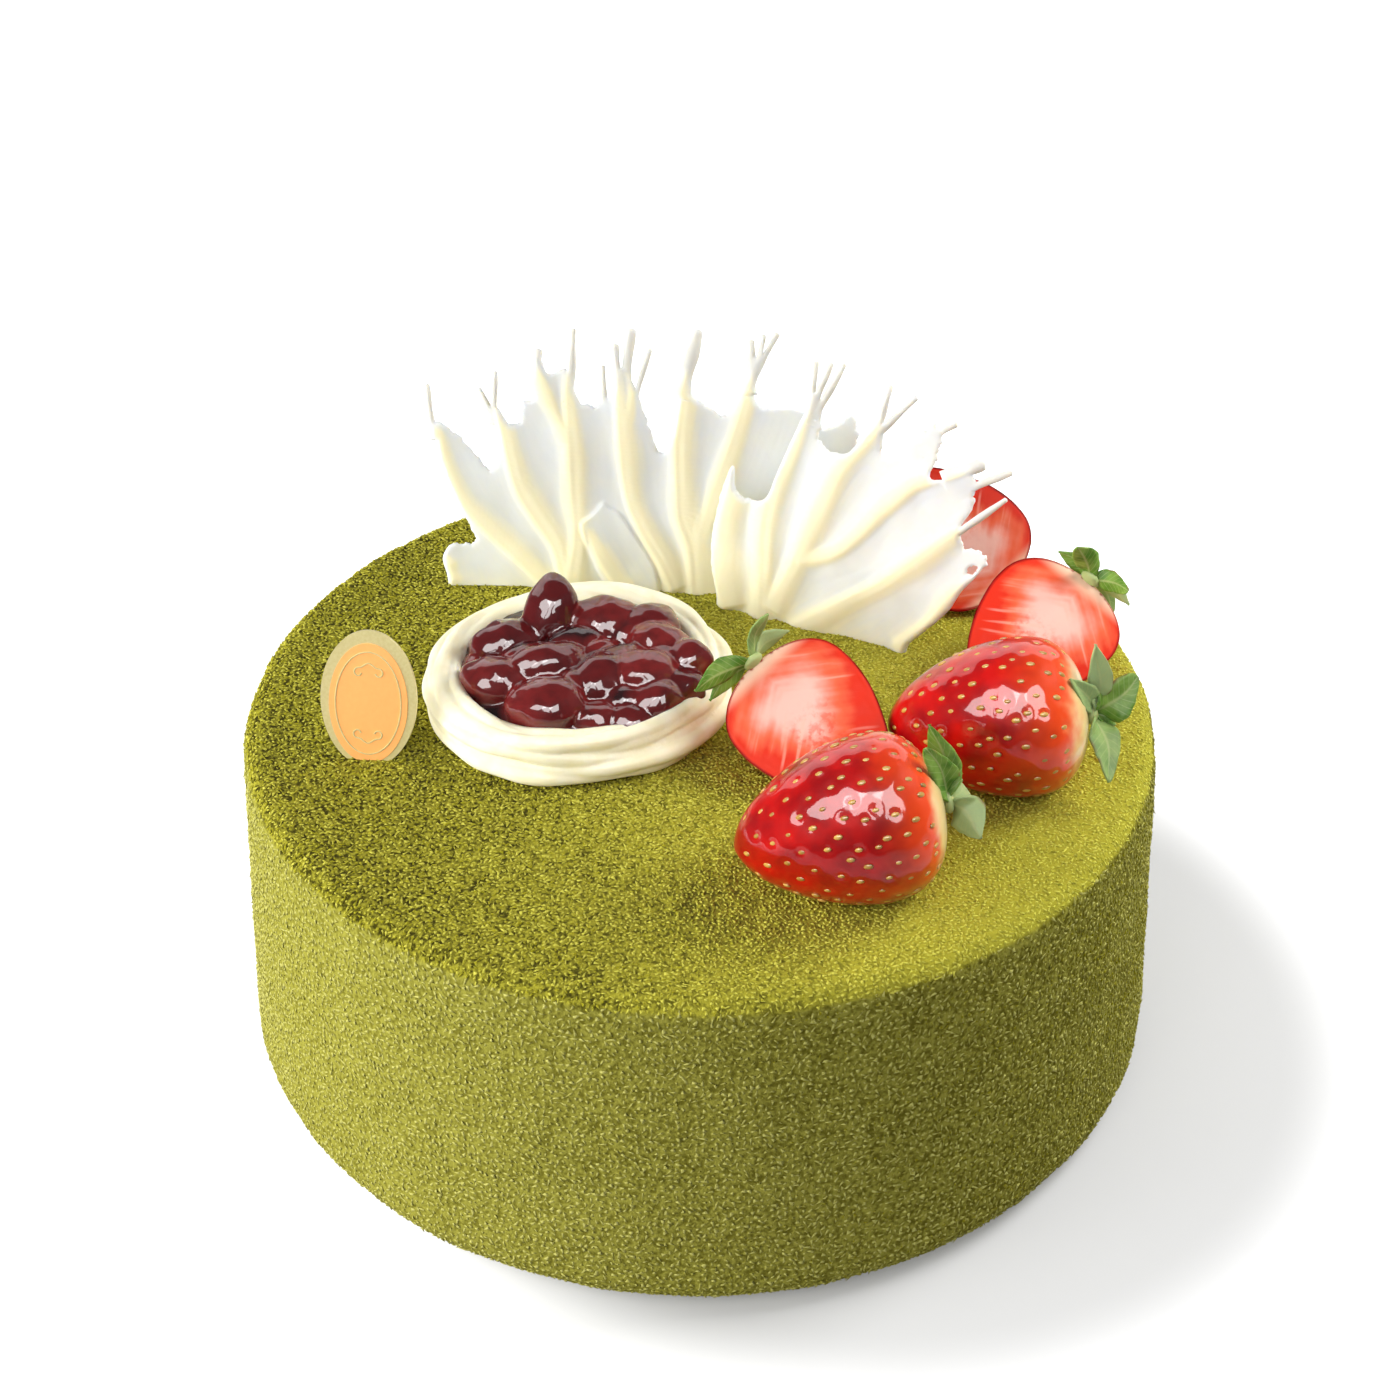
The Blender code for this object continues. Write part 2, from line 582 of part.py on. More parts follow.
def make_cake(collection, cutters, material):
    """A turned body with a slightly wider foot and shallow lumps in its coat."""
    side = BASE_RADIUS - TOP_RADIUS
    top_arc = arc((TOP_RADIUS - TOP_ROUNDING, CAKE_HEIGHT - TOP_ROUNDING), TOP_ROUNDING, 90, 0, 4)
    base_arc = arc((BASE_RADIUS - BASE_ROUNDING, BASE_ROUNDING), BASE_ROUNDING, 0, -90, 3)
    profile = [(0, CAKE_HEIGHT), (TOP_RADIUS * FLAT_TOP_SHARE, CAKE_HEIGHT)] + top_arc
    profile += [(TOP_RADIUS + side * share, CAKE_HEIGHT * (1 - share)) for share in SIDE_RING_SHARES]
    profile += base_arc + [(0, 0)]
    work = bmesh.new()
    points = [work.verts.new((r, 0, z)) for r, z in profile]
    for a, b in zip(points, points[1:]):
        work.edges.new((a, b))
    cake = object_from_bmesh("cake", work, collection)
    turn = cake.modifiers.new("turn", "SCREW")
    turn.steps = CAKE_STEPS
    turn.render_steps = CAKE_STEPS
    turn.use_merge_vertices = True
    turn.merge_threshold = MERGE
    cake = made_mesh(cake, collection)
    for vertex in cake.data.vertices:
        radius = math.hypot(vertex.co.x, vertex.co.y)
        if radius > TOP_RADIUS * RELIEF_FROM_SHARE and vertex.co.z > MERGE:
            lump = CRUMB_RELIEF * noise.noise(vertex.co / CRUMB_LUMP)
            vertex.co.x *= 1 + lump / radius
            vertex.co.y *= 1 + lump / radius
    cake = join(cake, collection, cutters, "DIFFERENCE")
    finish(cake, material, 45)


def main():
    clear_scene()
    gateau = new_collection("matcha_gateau")
    cutters = new_collection("cutters", hidden=True)
    crumb = new_material("matcha crumb", (0.25, 0.25, 0.035), 0.95)
    chocolate = new_material("white chocolate", (0.89, 0.85, 0.62), 0.4)
    cream = new_material("piped cream", (0.86, 0.8, 0.55), 0.5)
    bean = new_material("sweet bean", (0.09, 0.02, 0.018), 0.15)
    flesh = new_material("berry", (0.45, 0.02, 0.015), 0.25)
    green = new_material("berry leaf", (0.16, 0.22, 0.05), 0.6)
    foil = new_material("gold card", (0.85, 0.5, 0.2), 0.35, 0.4)
    make_fan(LEFT_FAN, gateau, cutters, chocolate)
    make_fan(RIGHT_FAN, gateau, cutters, chocolate)
    make_nest(gateau, cream)
    make_beans(gateau, bean)
    for berry in BERRIES:
        make_berry(berry, gateau, cutters, flesh, green)
    make_tag(gateau, cutters, foil)
    make_cake(gateau, cutters, crumb)


main()
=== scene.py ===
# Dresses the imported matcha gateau: crumb coat, chocolate fans, cream nest, beans, berries and tag.
# Metres, +Z up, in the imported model's own frame. The dictionaries give millimetres and degrees.
import math
import random

import bmesh
import bpy
import numpy as np
from mathutils import Matrix, Vector, kdtree, noise
from mathutils.geometry import delaunay_2d_cdt


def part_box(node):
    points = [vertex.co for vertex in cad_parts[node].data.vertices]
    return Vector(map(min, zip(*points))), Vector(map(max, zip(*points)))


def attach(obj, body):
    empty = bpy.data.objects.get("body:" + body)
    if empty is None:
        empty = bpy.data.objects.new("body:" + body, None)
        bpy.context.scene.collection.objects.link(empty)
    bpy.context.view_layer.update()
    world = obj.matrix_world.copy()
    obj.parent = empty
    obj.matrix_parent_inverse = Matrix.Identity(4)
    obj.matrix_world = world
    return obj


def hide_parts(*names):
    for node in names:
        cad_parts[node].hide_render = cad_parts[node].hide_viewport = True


mm = 0.001
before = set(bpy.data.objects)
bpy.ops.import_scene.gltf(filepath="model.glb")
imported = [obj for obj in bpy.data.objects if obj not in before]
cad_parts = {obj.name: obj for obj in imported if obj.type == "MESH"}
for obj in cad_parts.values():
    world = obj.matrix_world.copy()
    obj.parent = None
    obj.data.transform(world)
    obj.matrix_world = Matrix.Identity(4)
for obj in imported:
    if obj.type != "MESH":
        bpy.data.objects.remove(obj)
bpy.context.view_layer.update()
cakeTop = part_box("cake")[1].z


# Helpers for colours and nodes

def linear(red, green, blue):
    # a screen colour, 0 to 255, as the renderer's linear colour
    shares = [c / 255 for c in (red, green, blue)]
    return tuple(c / 12.92 if c < 0.04 else ((c + 0.055) / 1.055) ** 2.4 for c in shares)


def setInput(tree, socket, value):
    if isinstance(value, bpy.types.NodeSocket):
        tree.links.new(value, socket)
    elif socket.type == "RGBA" and len(value) == 3:
        socket.default_value = (*value, 1)
    else:
        socket.default_value = value


def addNode(tree, kind, inputs=None, **settings):
    made = tree.nodes.new(kind)
    for key, value in settings.items():
        setattr(made, key, value)
    for key, value in (inputs or {}).items():
        setInput(tree, made.inputs[key], value)
    return made


def calc(tree, operation, *values, clamp=False):
    made = addNode(tree, "ShaderNodeMath", dict(enumerate(values)), operation=operation, use_clamp=clamp)
    return made.outputs[0]


def mixColour(tree, share, *colours):
    # each colour is a socket or a screen colour
    first, second = [linear(*c) if isinstance(c, tuple) else c for c in colours]
    return addNode(tree, "ShaderNodeMix", {0: share, 6: first, 7: second}, data_type="RGBA").outputs[2]


def between(tree, value, low, high, lowOut=0.0, highOut=1.0):
    # moves a value from one range to another, smoothly and clamped
    ends = {"Value": value, "From Min": low, "From Max": high, "To Min": lowOut, "To Max": highOut}
    return addNode(tree, "ShaderNodeMapRange", ends, interpolation_type="SMOOTHSTEP").outputs[0]


def spotNoise(tree, place, size, detail=3.0):
    # lumps about as wide as size, in the units of place
    lumps = {"Vector": place, "Scale": 1 / size, "Detail": detail}
    return addNode(tree, "ShaderNodeTexNoise", lumps).outputs["Fac"]


def objectPlace(tree):
    return addNode(tree, "ShaderNodeTexCoord").outputs["Object"]


def axes(tree, vector):
    return addNode(tree, "ShaderNodeSeparateXYZ", {0: vector}).outputs


def attribute(tree, name, output="Fac"):
    return addNode(tree, "ShaderNodeAttribute", attribute_name=name).outputs[output]


def newTree(name, kind, inputs, outputs):
    # inputs and outputs give each socket's kind by its name
    tree = bpy.data.node_groups.new(name, kind)
    for direction, sockets in (("INPUT", inputs), ("OUTPUT", outputs)):
        for label, socketKind in sockets.items():
            tree.interface.new_socket(label, in_out=direction, socket_type="NodeSocket" + socketKind)
    return tree, addNode(tree, "NodeGroupInput").outputs


def newMaterial(name, **values):
    # values go straight on the shader's sockets, whose spaces are written as underscores
    material = bpy.data.materials.new(name)
    material.use_nodes = True
    tree = material.node_tree
    shader = tree.nodes["Principled BSDF"]
    for key, value in values.items():
        setInput(tree, shader.inputs[key.replace("_", " ")], value)
    return material, tree, shader


def paint(tree, shader, colour):
    tree.links.new(colour, shader.inputs["Base Color"])


def bump(tree, shader, height, distance, strength=1.0):
    made = addNode(tree, "ShaderNodeBump", {"Height": height, "Distance": distance, "Strength": strength})
    tree.links.new(made.outputs[0], shader.inputs["Normal"])


# Helpers for meshes

def addObject(name, data):
    obj = bpy.data.objects.new(name, data)
    bpy.context.scene.collection.objects.link(obj)
    return obj


def newMesh(name, points, faces):
    mesh = bpy.data.meshes.new(name)
    mesh.from_pydata([tuple(p) for p in points], [], [tuple(f) for f in faces])
    mesh.update()
    mesh.shade_smooth()
    return addObject(name, mesh)


def fromBmesh(name, work):
    mesh = bpy.data.meshes.new(name)
    work.to_mesh(mesh)
    work.free()
    return addObject(name, mesh)


def setAttribute(obj, name, values, kind="FLOAT"):
    made = obj.data.attributes.new(name, kind, "POINT")
    key = "vector" if kind == "FLOAT_VECTOR" else "value"
    made.data.foreach_set(key, np.asarray(values, np.float32).ravel())


def moved(points, place):
    place = np.array(place)
    return points @ place[:3, :3].T + place[:3, 3]


def plainMesh(obj):
    # the evaluated shape as a plain mesh, with the modifiers gone
    bpy.context.view_layer.update()
    graph = bpy.context.evaluated_depsgraph_get()
    mesh = bpy.data.meshes.new_from_object(obj.evaluated_get(graph))
    obj.modifiers.clear()
    if obj.type == "MESH":
        obj.data = mesh
        return obj
    name = obj.name
    bpy.data.objects.remove(obj, do_unlink=True)
    return addObject(name, mesh)


def joined(name, objects):
    # one object from several, with their places in the mesh
    work = bmesh.new()
    for obj in objects:
        obj.data.transform(obj.matrix_world)
        work.from_mesh(obj.data)
        bpy.data.objects.remove(obj, do_unlink=True)
    return fromBmesh(name, work)


def remeshed(obj, voxel, smoothing, rounds):
    # fuses overlapping shapes into one smooth skin
    fuse = obj.modifiers.new("fuse", "REMESH")
    fuse.mode = "VOXEL"
    fuse.voxel_size = voxel
    fuse.use_smooth_shade = True
    soften = obj.modifiers.new("soften", "SMOOTH")
    soften.factor = smoothing
    soften.iterations = rounds
    return plainMesh(obj)


def ringFaces(rows, around):
    # quads between the rings of points, then triangles to the two end points that follow them
    faces = []
    for row in range(rows - 1):
        for i in range(around):
            j = (i + 1) % around
            faces.append((row * around + i, (row + 1) * around + i, (row + 1) * around + j, row * around + j))
    end, last = rows * around, (rows - 1) * around
    faces += [(end, i, (i + 1) % around) for i in range(around)]
    faces += [(end + 1, last + (i + 1) % around, last + i) for i in range(around)]
    return faces


def turnedBody(profile, turns):
    # points, faces and outward directions of a profile turned about Z, closed at both ends
    profile = np.array(profile)
    along = np.gradient(profile, axis=0)
    outward = np.stack([-along[:, 1], along[:, 0]], axis=1)
    outward /= np.linalg.norm(outward, axis=1)[:, None]
    angles = np.linspace(0, 2 * math.pi, turns, endpoint=False)
    ring = np.stack([np.cos(angles), np.sin(angles)], axis=1)
    made = []
    for line, ends in ((profile, (profile[0, 1], profile[-1, 1])), (outward, (1, -1))):
        flat = line[1:-1, 0][:, None, None] * ring[None]
        up = np.broadcast_to(line[1:-1, 1][:, None, None], (*flat.shape[:2], 1))
        rings = np.concatenate([flat, up], axis=2).reshape(-1, 3)
        made.append(np.concatenate([rings, [[0, 0, ends[0]], [0, 0, ends[1]]]]))
    return made[0], ringFaces(len(profile) - 2, turns), made[1]


def tube(name, line, radii, sides, closed=False):
    data = bpy.data.curves.new(name, "CURVE")
    data.dimensions = "3D"
    data.bevel_depth = 1
    data.bevel_resolution = sides // 2 - 2
    data.use_fill_caps = True
    spline = data.splines.new("POLY")
    spline.points.add(len(line) - 1)
    spline.use_cyclic_u = closed
    for target, point, radius in zip(spline.points, line, radii):
        target.co = (*point, 1)
        target.radius = radius
    return plainMesh(addObject(name, data))


def finishPiece(obj, material, slot, *nodes):
    obj.data.materials.clear()
    obj.data.materials.append(material)
    obj.data.shade_smooth()
    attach(obj, "root")
    if nodes:
        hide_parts(*nodes)
    triangles = sum(len(p.vertices) - 2 for p in obj.data.polygons)
    print("made", obj.name, triangles, "triangles")


# Helpers for Geometry Nodes that put many small things on a mesh

def randomNumber(tree, low, high, seed=0):
    ends = {2: low, 3: high, "Seed": seed}
    return addNode(tree, "FunctionNodeRandomValue", ends, data_type="FLOAT").outputs[1]


def randomVector(tree, low, high):
    ends = {0: low, 1: high, "Seed": 0}
    return addNode(tree, "FunctionNodeRandomValue", ends, data_type="FLOAT_VECTOR").outputs[0]


def namedField(tree, name, kind):
    return addNode(tree, "GeometryNodeInputNamedAttribute", {"Name": name}, data_type=kind).outputs[0]


def makeReal(tree, placed, tone, material):
    # each instance keeps its tone, turns into plain geometry and takes its material
    toned = addNode(tree, "GeometryNodeStoreNamedAttribute", {
        "Geometry": placed.outputs[0], "Name": "tone", "Value": tone}, data_type="FLOAT", domain="INSTANCE")
    real = addNode(tree, "GeometryNodeRealizeInstances", {"Geometry": toned.outputs[0]})
    done = addNode(tree, "GeometryNodeSetMaterial", {"Geometry": real.outputs[0], "Material": material})
    addNode(tree, "NodeGroupOutput", {"Geometry": done.outputs[0]})


def grownOn(obj, tree, values):
    # runs the tree on the object, with its inputs set by their identifiers
    modifier = obj.modifiers.new("grow", "NODES")
    modifier.node_group = tree
    for item in tree.interface.items_tree:
        if item.item_type == "SOCKET" and item.in_out == "INPUT" and item.name in values:
            modifier[item.identifier] = values[item.name]
    return plainMesh(obj)


# Cake: a turned body in an undercoat of green, with one coat of crumb grains on the top and one on the side

cake = {
    "topRadius": 78.4, "baseRadius": 81.4, "topRounding": 3.8, "baseRounding": 6,
    "turns": 480, "ringStep": 1.1, "underStep": 6,
    "lumpSize": 11, "lumpRise": 0.3, "clumpSize": 2.6, "clumpRise": 0.25, "sideCalm": 0.6, "sunk": 0.15,
    "paintedShadingSpan": (-60, 75), "underGrain": 0.9, "grain": 0.4, "patchSize": 14, "patch": 0.4, "sheen": 0.1,
}
# Tones run from dark to light. Their shift at the cake's left and at its right is painted light and shade:
# the top darker at the left and lighter at the right, the side lighter at the left and darker at the right.
coats = {
    "top": {
        "piece": "crumbsOnTop", "material": "crumbGrain", "seed": 3,
        "spacing": 0.61, "sizes": (0.64, 0.94), "flatness": 0.6,
        "tones": ((144, 138, 28), (198, 192, 78)), "paintedShading": (-0.62, 0.3),
        "underTones": ((58, 54, 5), (160, 154, 46)), "underPaintedShading": (-0.12, 0.8),
    },
    "side": {
        "piece": "crumbsOnSide", "material": "sideGrain", "seed": 5,
        "spacing": 0.88, "sizes": (0.75, 1.15), "flatness": 0.36,
        "tones": ((122, 116, 16), (176, 172, 94)), "paintedShading": (0.3, -0.5),
        "underTones": ((88, 83, 8), (142, 138, 54)), "underPaintedShading": (0.35, -0.15),
    },
}
# A grain is a tiny ball with few faces, stretched between least and most and tilted by so many radians
grainShape = {
    "sides": 3, "rings": 2, "least": (1.1, 0.55, 0.7), "most": (2.3, 0.95, 1.3),
    "tiltLeast": (-0.45, -0.45, 0), "tiltMost": (0.45, 0.45, 6.28), "density": 6e6,
}


def roundedLine(corner, radius, start, end, step):
    # points of an arc about a corner
    count = max(2, round(abs(math.radians(end - start)) * radius / step) + 1)
    angles = [math.radians(start + (end - start) * i / (count - 1)) for i in range(count)]
    return [(corner[0] + radius * math.cos(a), corner[1] + radius * math.sin(a)) for a in angles]


def evenly(first, last, step):
    count = max(1, round(math.dist(first, last) / step))
    return [(first[0] + (last[0] - first[0]) * i / count, first[1] + (last[1] - first[1]) * i / count)
            for i in range(count + 1)]


def cakeProfile():
    # from the middle of the top over the edge and down to the middle of the underside
    top, base, height = cake["topRadius"], cake["baseRadius"], cakeTop / mm
    rounding, foot, step = cake["topRounding"], cake["baseRounding"], cake["ringStep"]
    profile = evenly((0, height), (top - rounding, height), step)
    profile += roundedLine((top - rounding, height - rounding), rounding, 90, 0, step * 0.7)[1:]
    profile += evenly((top, height - rounding), (base, foot), step)[1:]
    profile += roundedLine((base - foot, foot), foot, 0, -90, step)[1:]
    profile += evenly((base - foot, 0), (0, 0), cake["underStep"])[1:]
    return profile


def crumbTone():
    # shared by the undercoat and the grains: patchy green from dark to light
    group, given = newTree("crumbTone", "ShaderNodeTree", {
        "Dark": "Color", "Light": "Color", "Size": "Float", "Tone": "Float", "Patch": "Float",
    }, {"Color": "Color", "Height": "Float"})
    place = objectPlace(group)
    scale = calc(group, "DIVIDE", 1, given["Size"])
    grain = {"Vector": place, "Scale": scale, "Detail": 2.0}
    fine = addNode(group, "ShaderNodeTexNoise", grain).outputs["Fac"]
    patch = spotNoise(group, place, cake["patchSize"] * mm, 2.0)
    share = calc(group, "ADD", between(group, fine, 0.3, 0.7), given["Tone"])
    shift = calc(group, "MULTIPLY", calc(group, "SUBTRACT", patch, 0.5), given["Patch"])
    share = calc(group, "ADD", share, shift, clamp=True)
    colour = mixColour(group, share, given["Dark"], given["Light"])
    addNode(group, "NodeGroupOutput", {"Color": colour, "Height": fine})
    return group


def crumbShade(tree, tone, tones, paintedShading, size, chance=0.0):
    # the shared tone, shifted across the cake by painted light and shade, and each grain's own chance
    left, right = cake["paintedShadingSpan"]
    shift = between(tree, axes(tree, objectPlace(tree))["X"], left * mm, right * mm, *paintedShading)
    return addNode(tree, "ShaderNodeGroup", {
        "Dark": linear(*tones[0]), "Light": linear(*tones[1]), "Size": size * mm,
        "Tone": calc(tree, "ADD", chance, shift), "Patch": cake["patch"],
    }, node_tree=tone).outputs


def undercoatMaterial(tone):
    material, tree, shader = newMaterial("crumbUndercoat", Roughness=1.0, Specular_IOR_Level=0.1)
    side, top = [crumbShade(tree, tone, coat["underTones"], coat["underPaintedShading"], cake["underGrain"])
                 for coat in (coats["side"], coats["top"])]
    paint(tree, shader, mixColour(tree, attribute(tree, "top"), side["Color"], top["Color"]))
    bump(tree, shader, top["Height"], 0.4 * mm)
    return material


def grainMaterial(tone, coat):
    material, tree, shader = newMaterial(
        coat["material"], Roughness=0.95, Specular_IOR_Level=0.05, Sheen_Weight=cake["sheen"],
        Sheen_Roughness=0.4, Sheen_Tint=linear(226, 222, 140))
    made = crumbShade(tree, tone, coat["tones"], coat["paintedShading"], cake["grain"], attribute(tree, "tone"))
    paint(tree, shader, made["Color"])
    bump(tree, shader, made["Height"], 0.2 * mm)
    return material


def grainTree(zone):
    # Geometry Nodes: grains spread over the faces that the zone's attribute marks
    tree, given = newTree("grainsOn" + zone, "GeometryNodeTree", {
        "Geometry": "Geometry", "Spacing": "Float", "Smallest": "Float", "Largest": "Float",
        "Flatness": "Float", "Seed": "Int", "Material": "Material",
    }, {"Geometry": "Geometry"})
    spread = addNode(tree, "GeometryNodeDistributePointsOnFaces", {
        "Mesh": given["Geometry"], "Distance Min": given["Spacing"], "Density Max": grainShape["density"],
        "Density Factor": namedField(tree, zone, "FLOAT"), "Seed": given["Seed"],
    }, distribute_method="POISSON")
    ball = addNode(tree, "GeometryNodeMeshUVSphere", {
        "Segments": grainShape["sides"], "Rings": grainShape["rings"], "Radius": 0.5})
    size = randomNumber(tree, given["Smallest"], given["Largest"], given["Seed"])
    height = calc(tree, "MULTIPLY", size, given["Flatness"])
    flat = addNode(tree, "ShaderNodeCombineXYZ", {"X": size, "Y": size, "Z": height}).outputs[0]
    uneven = randomVector(tree, grainShape["least"], grainShape["most"])
    scale = addNode(tree, "ShaderNodeVectorMath", {0: flat, 1: uneven}, operation="MULTIPLY").outputs[0]
    tilt = randomVector(tree, grainShape["tiltLeast"], grainShape["tiltMost"])
    turn = addNode(tree, "FunctionNodeRotateRotation", {0: spread.outputs["Rotation"], 1: tilt},
                   rotation_space="LOCAL").outputs[0]
    placed = addNode(tree, "GeometryNodeInstanceOnPoints", {
        "Points": spread.outputs["Points"], "Instance": ball.outputs["Mesh"],
        "Rotation": turn, "Scale": scale})
    makeReal(tree, placed, randomNumber(tree, 0.0, 1.0), given["Material"])
    return tree


def makeCake():
    points, faces, normals = turnedBody(cakeProfile(), cake["turns"])
    steep = 1 - np.clip(normals[:, 2], 0, 1)
    for i, (point, normal) in enumerate(zip(points, normals)):
        if point[2] < 0.5:  # the underside stays flat
            continue
        spot = Vector(point)
        lump = cake["lumpRise"] * noise.noise(spot / cake["lumpSize"])
        clump = cake["clumpRise"] * (1 - cake["sideCalm"] * steep[i]) * noise.noise(spot / cake["clumpSize"])
        points[i] += normal * (lump + clump - cake["sunk"])
    tone = crumbTone()
    body = newMesh("cakeBody", points * mm, faces)
    onTop = (normals[:, 2] > 0.5) & (points[:, 2] > 1)  # the coats meet halfway round the top edge
    setAttribute(body, "top", onTop)
    setAttribute(body, "side", (~onTop) & (points[:, 2] > 0.6) & (normals[:, 2] > -0.8))
    finishPiece(body, undercoatMaterial(tone), "crumb", "cake")
    for zone, coat in coats.items():
        material = grainMaterial(tone, coat)
        smallest, largest = coat["sizes"]
        crumbs = grownOn(addObject(coat["piece"], body.data.copy()), grainTree(zone), {
            "Spacing": coat["spacing"] * mm, "Smallest": smallest * mm, "Largest": largest * mm,
            "Flatness": coat["flatness"], "Seed": coat["seed"], "Material": material})
        finishPiece(crumbs, material, "crumb")


# Chocolate fans: torn strokes with double-crested ridges, across and up in their own leaning plane
# Each ridge: points from tip to foot, half width, depth of its groove and its sharper side (-1 is left)
# Each spike: foot, tip and half width. Each hole: middle, long half, short half and turn.

leftFan = {
    "name": "fanLeft", "node": "fan_left", "foot": (-20, 36), "yaw": -3, "lean": 12, "seed": 11,
    "tornEdge": [
        (-26.6, -3), (-26.6, 1.2), (-27.8, 4.9), (-26.3, 7.6), (-24.2, 7.4), (-20.9, 7.9), (-24.5, 16),
        (-27.5, 23.5), (-28.6, 32), (-24.4, 28.9), (-20.7, 24.6), (-17.8, 21.3), (-16.6, 27.6), (-17.2, 35),
        (-14.9, 30.6), (-12.5, 31.2), (-12.5, 35.1), (-9.9, 35.8), (-10.2, 41.9), (-8.9, 43.7), (-7.9, 40.3),
        (-6.1, 40.5), (-4.2, 42), (-2.2, 35.2), (0.3, 34), (3.7, 36.3), (5.1, 43), (8.2, 38.3), (9.6, 33.7),
        (10.9, 30.1), (12.7, 25), (15.2, 31.4), (16.5, 43), (18.2, 36.7), (21.8, 34.4), (24.5, 33),
        (28.3, 43), (29.5, 35.1), (37.3, 35.5), (41.4, 31.6), (44.4, 31.8), (46.4, 34.8), (48.3, 32.3),
        (47.5, 22), (43, 10), (36, 1.2), (36, -3),
    ],
    "ridges": [
        ([(-29, 36), (-28, 30), (-26.9, 24), (-24, 16.8), (-19.5, 11.4), (-14, 6), (-8, 0)], 1.35, 0.2, -1),
        ([(-17, 39), (-16.5, 34), (-15.3, 27.6), (-13.2, 19.3), (-10, 13.4), (-6.6, 7.9), (-5, 1)],
         1.6, 0.7, -1),
        ([(-3.5, 45), (-3.8, 39), (-3.7, 34), (-3.1, 26), (-2.9, 17.7), (-2.5, 11.3), (-2.9, 6), (-4, 0)],
         1.6, 0.85, 0),
        ([(-9.4, 43), (-8.4, 38.5), (-6.4, 33.5), (-4, 28.5)], 1.0, 0, 0.4),
        ([(4.9, 44), (5.1, 36.7), (5.7, 28.2), (6.9, 17.9), (9.3, 11.7), (13, 5.4), (15.5, 0)],
         1.5, 0.55, -1),
        ([(7.4, 46), (7.3, 42), (7.5, 37.5), (6.7, 30.6)], 0.7, 0, 0),
        ([(18.5, 46), (17.7, 42), (16.7, 37), (15.9, 28.4), (16, 20.9), (16.5, 14.4), (18.3, 9), (18.9, 3),
          (19.2, -1)], 1.95, 0.8, -0.8),
        ([(30.3, 45), (29.6, 42.5), (28, 36.8), (26, 29.8), (24, 23.6), (22.1, 17.2), (20.3, 12), (18.6, 8)],
         1.5, 0.5, -0.5),
        ([(-1, 13), (0.8, 7.8), (3, 3.9), (5.4, 0)], 1.1, 0.2, -1),
        ([(-27, 6), (-25.6, 1)], 0.8, 0, 0),
    ],
    "spikes": [
        ((-28.6, 31), (-29.2, 37.7), 0.42), ((-17.2, 34), (-17.1, 40.5), 0.4),
        ((-17, 31), (-20.2, 37.2), 0.34), ((-3.8, 38), (-3.2, 48.6), 0.5), ((2.2, 34), (2.3, 42), 0.36),
        ((5, 38), (4.7, 45.9), 0.5), ((6.2, 38), (7.6, 48.6), 0.7), ((8.2, 36), (10.7, 45.3), 0.36),
        ((17, 40), (19, 48.8), 0.9), ((28.6, 41), (28.4, 47.3), 0.55), ((29.3, 42), (30.8, 48.3), 0.4),
        ((29.4, 42), (33.4, 48.6), 0.42), ((-9.6, 40), (-9, 44.6), 0.6),
    ],
    "layers": [[
        (-2.2, 12.8), (0.2, 14.3), (2.2, 16.8), (3.2, 15.4), (4.9, 14.8), (6.4, 12.8), (9, 9), (12, 4),
        (13, -3), (5, -3), (1.4, 3), (-0.8, 8),
    ]],
    "holes": [],
}
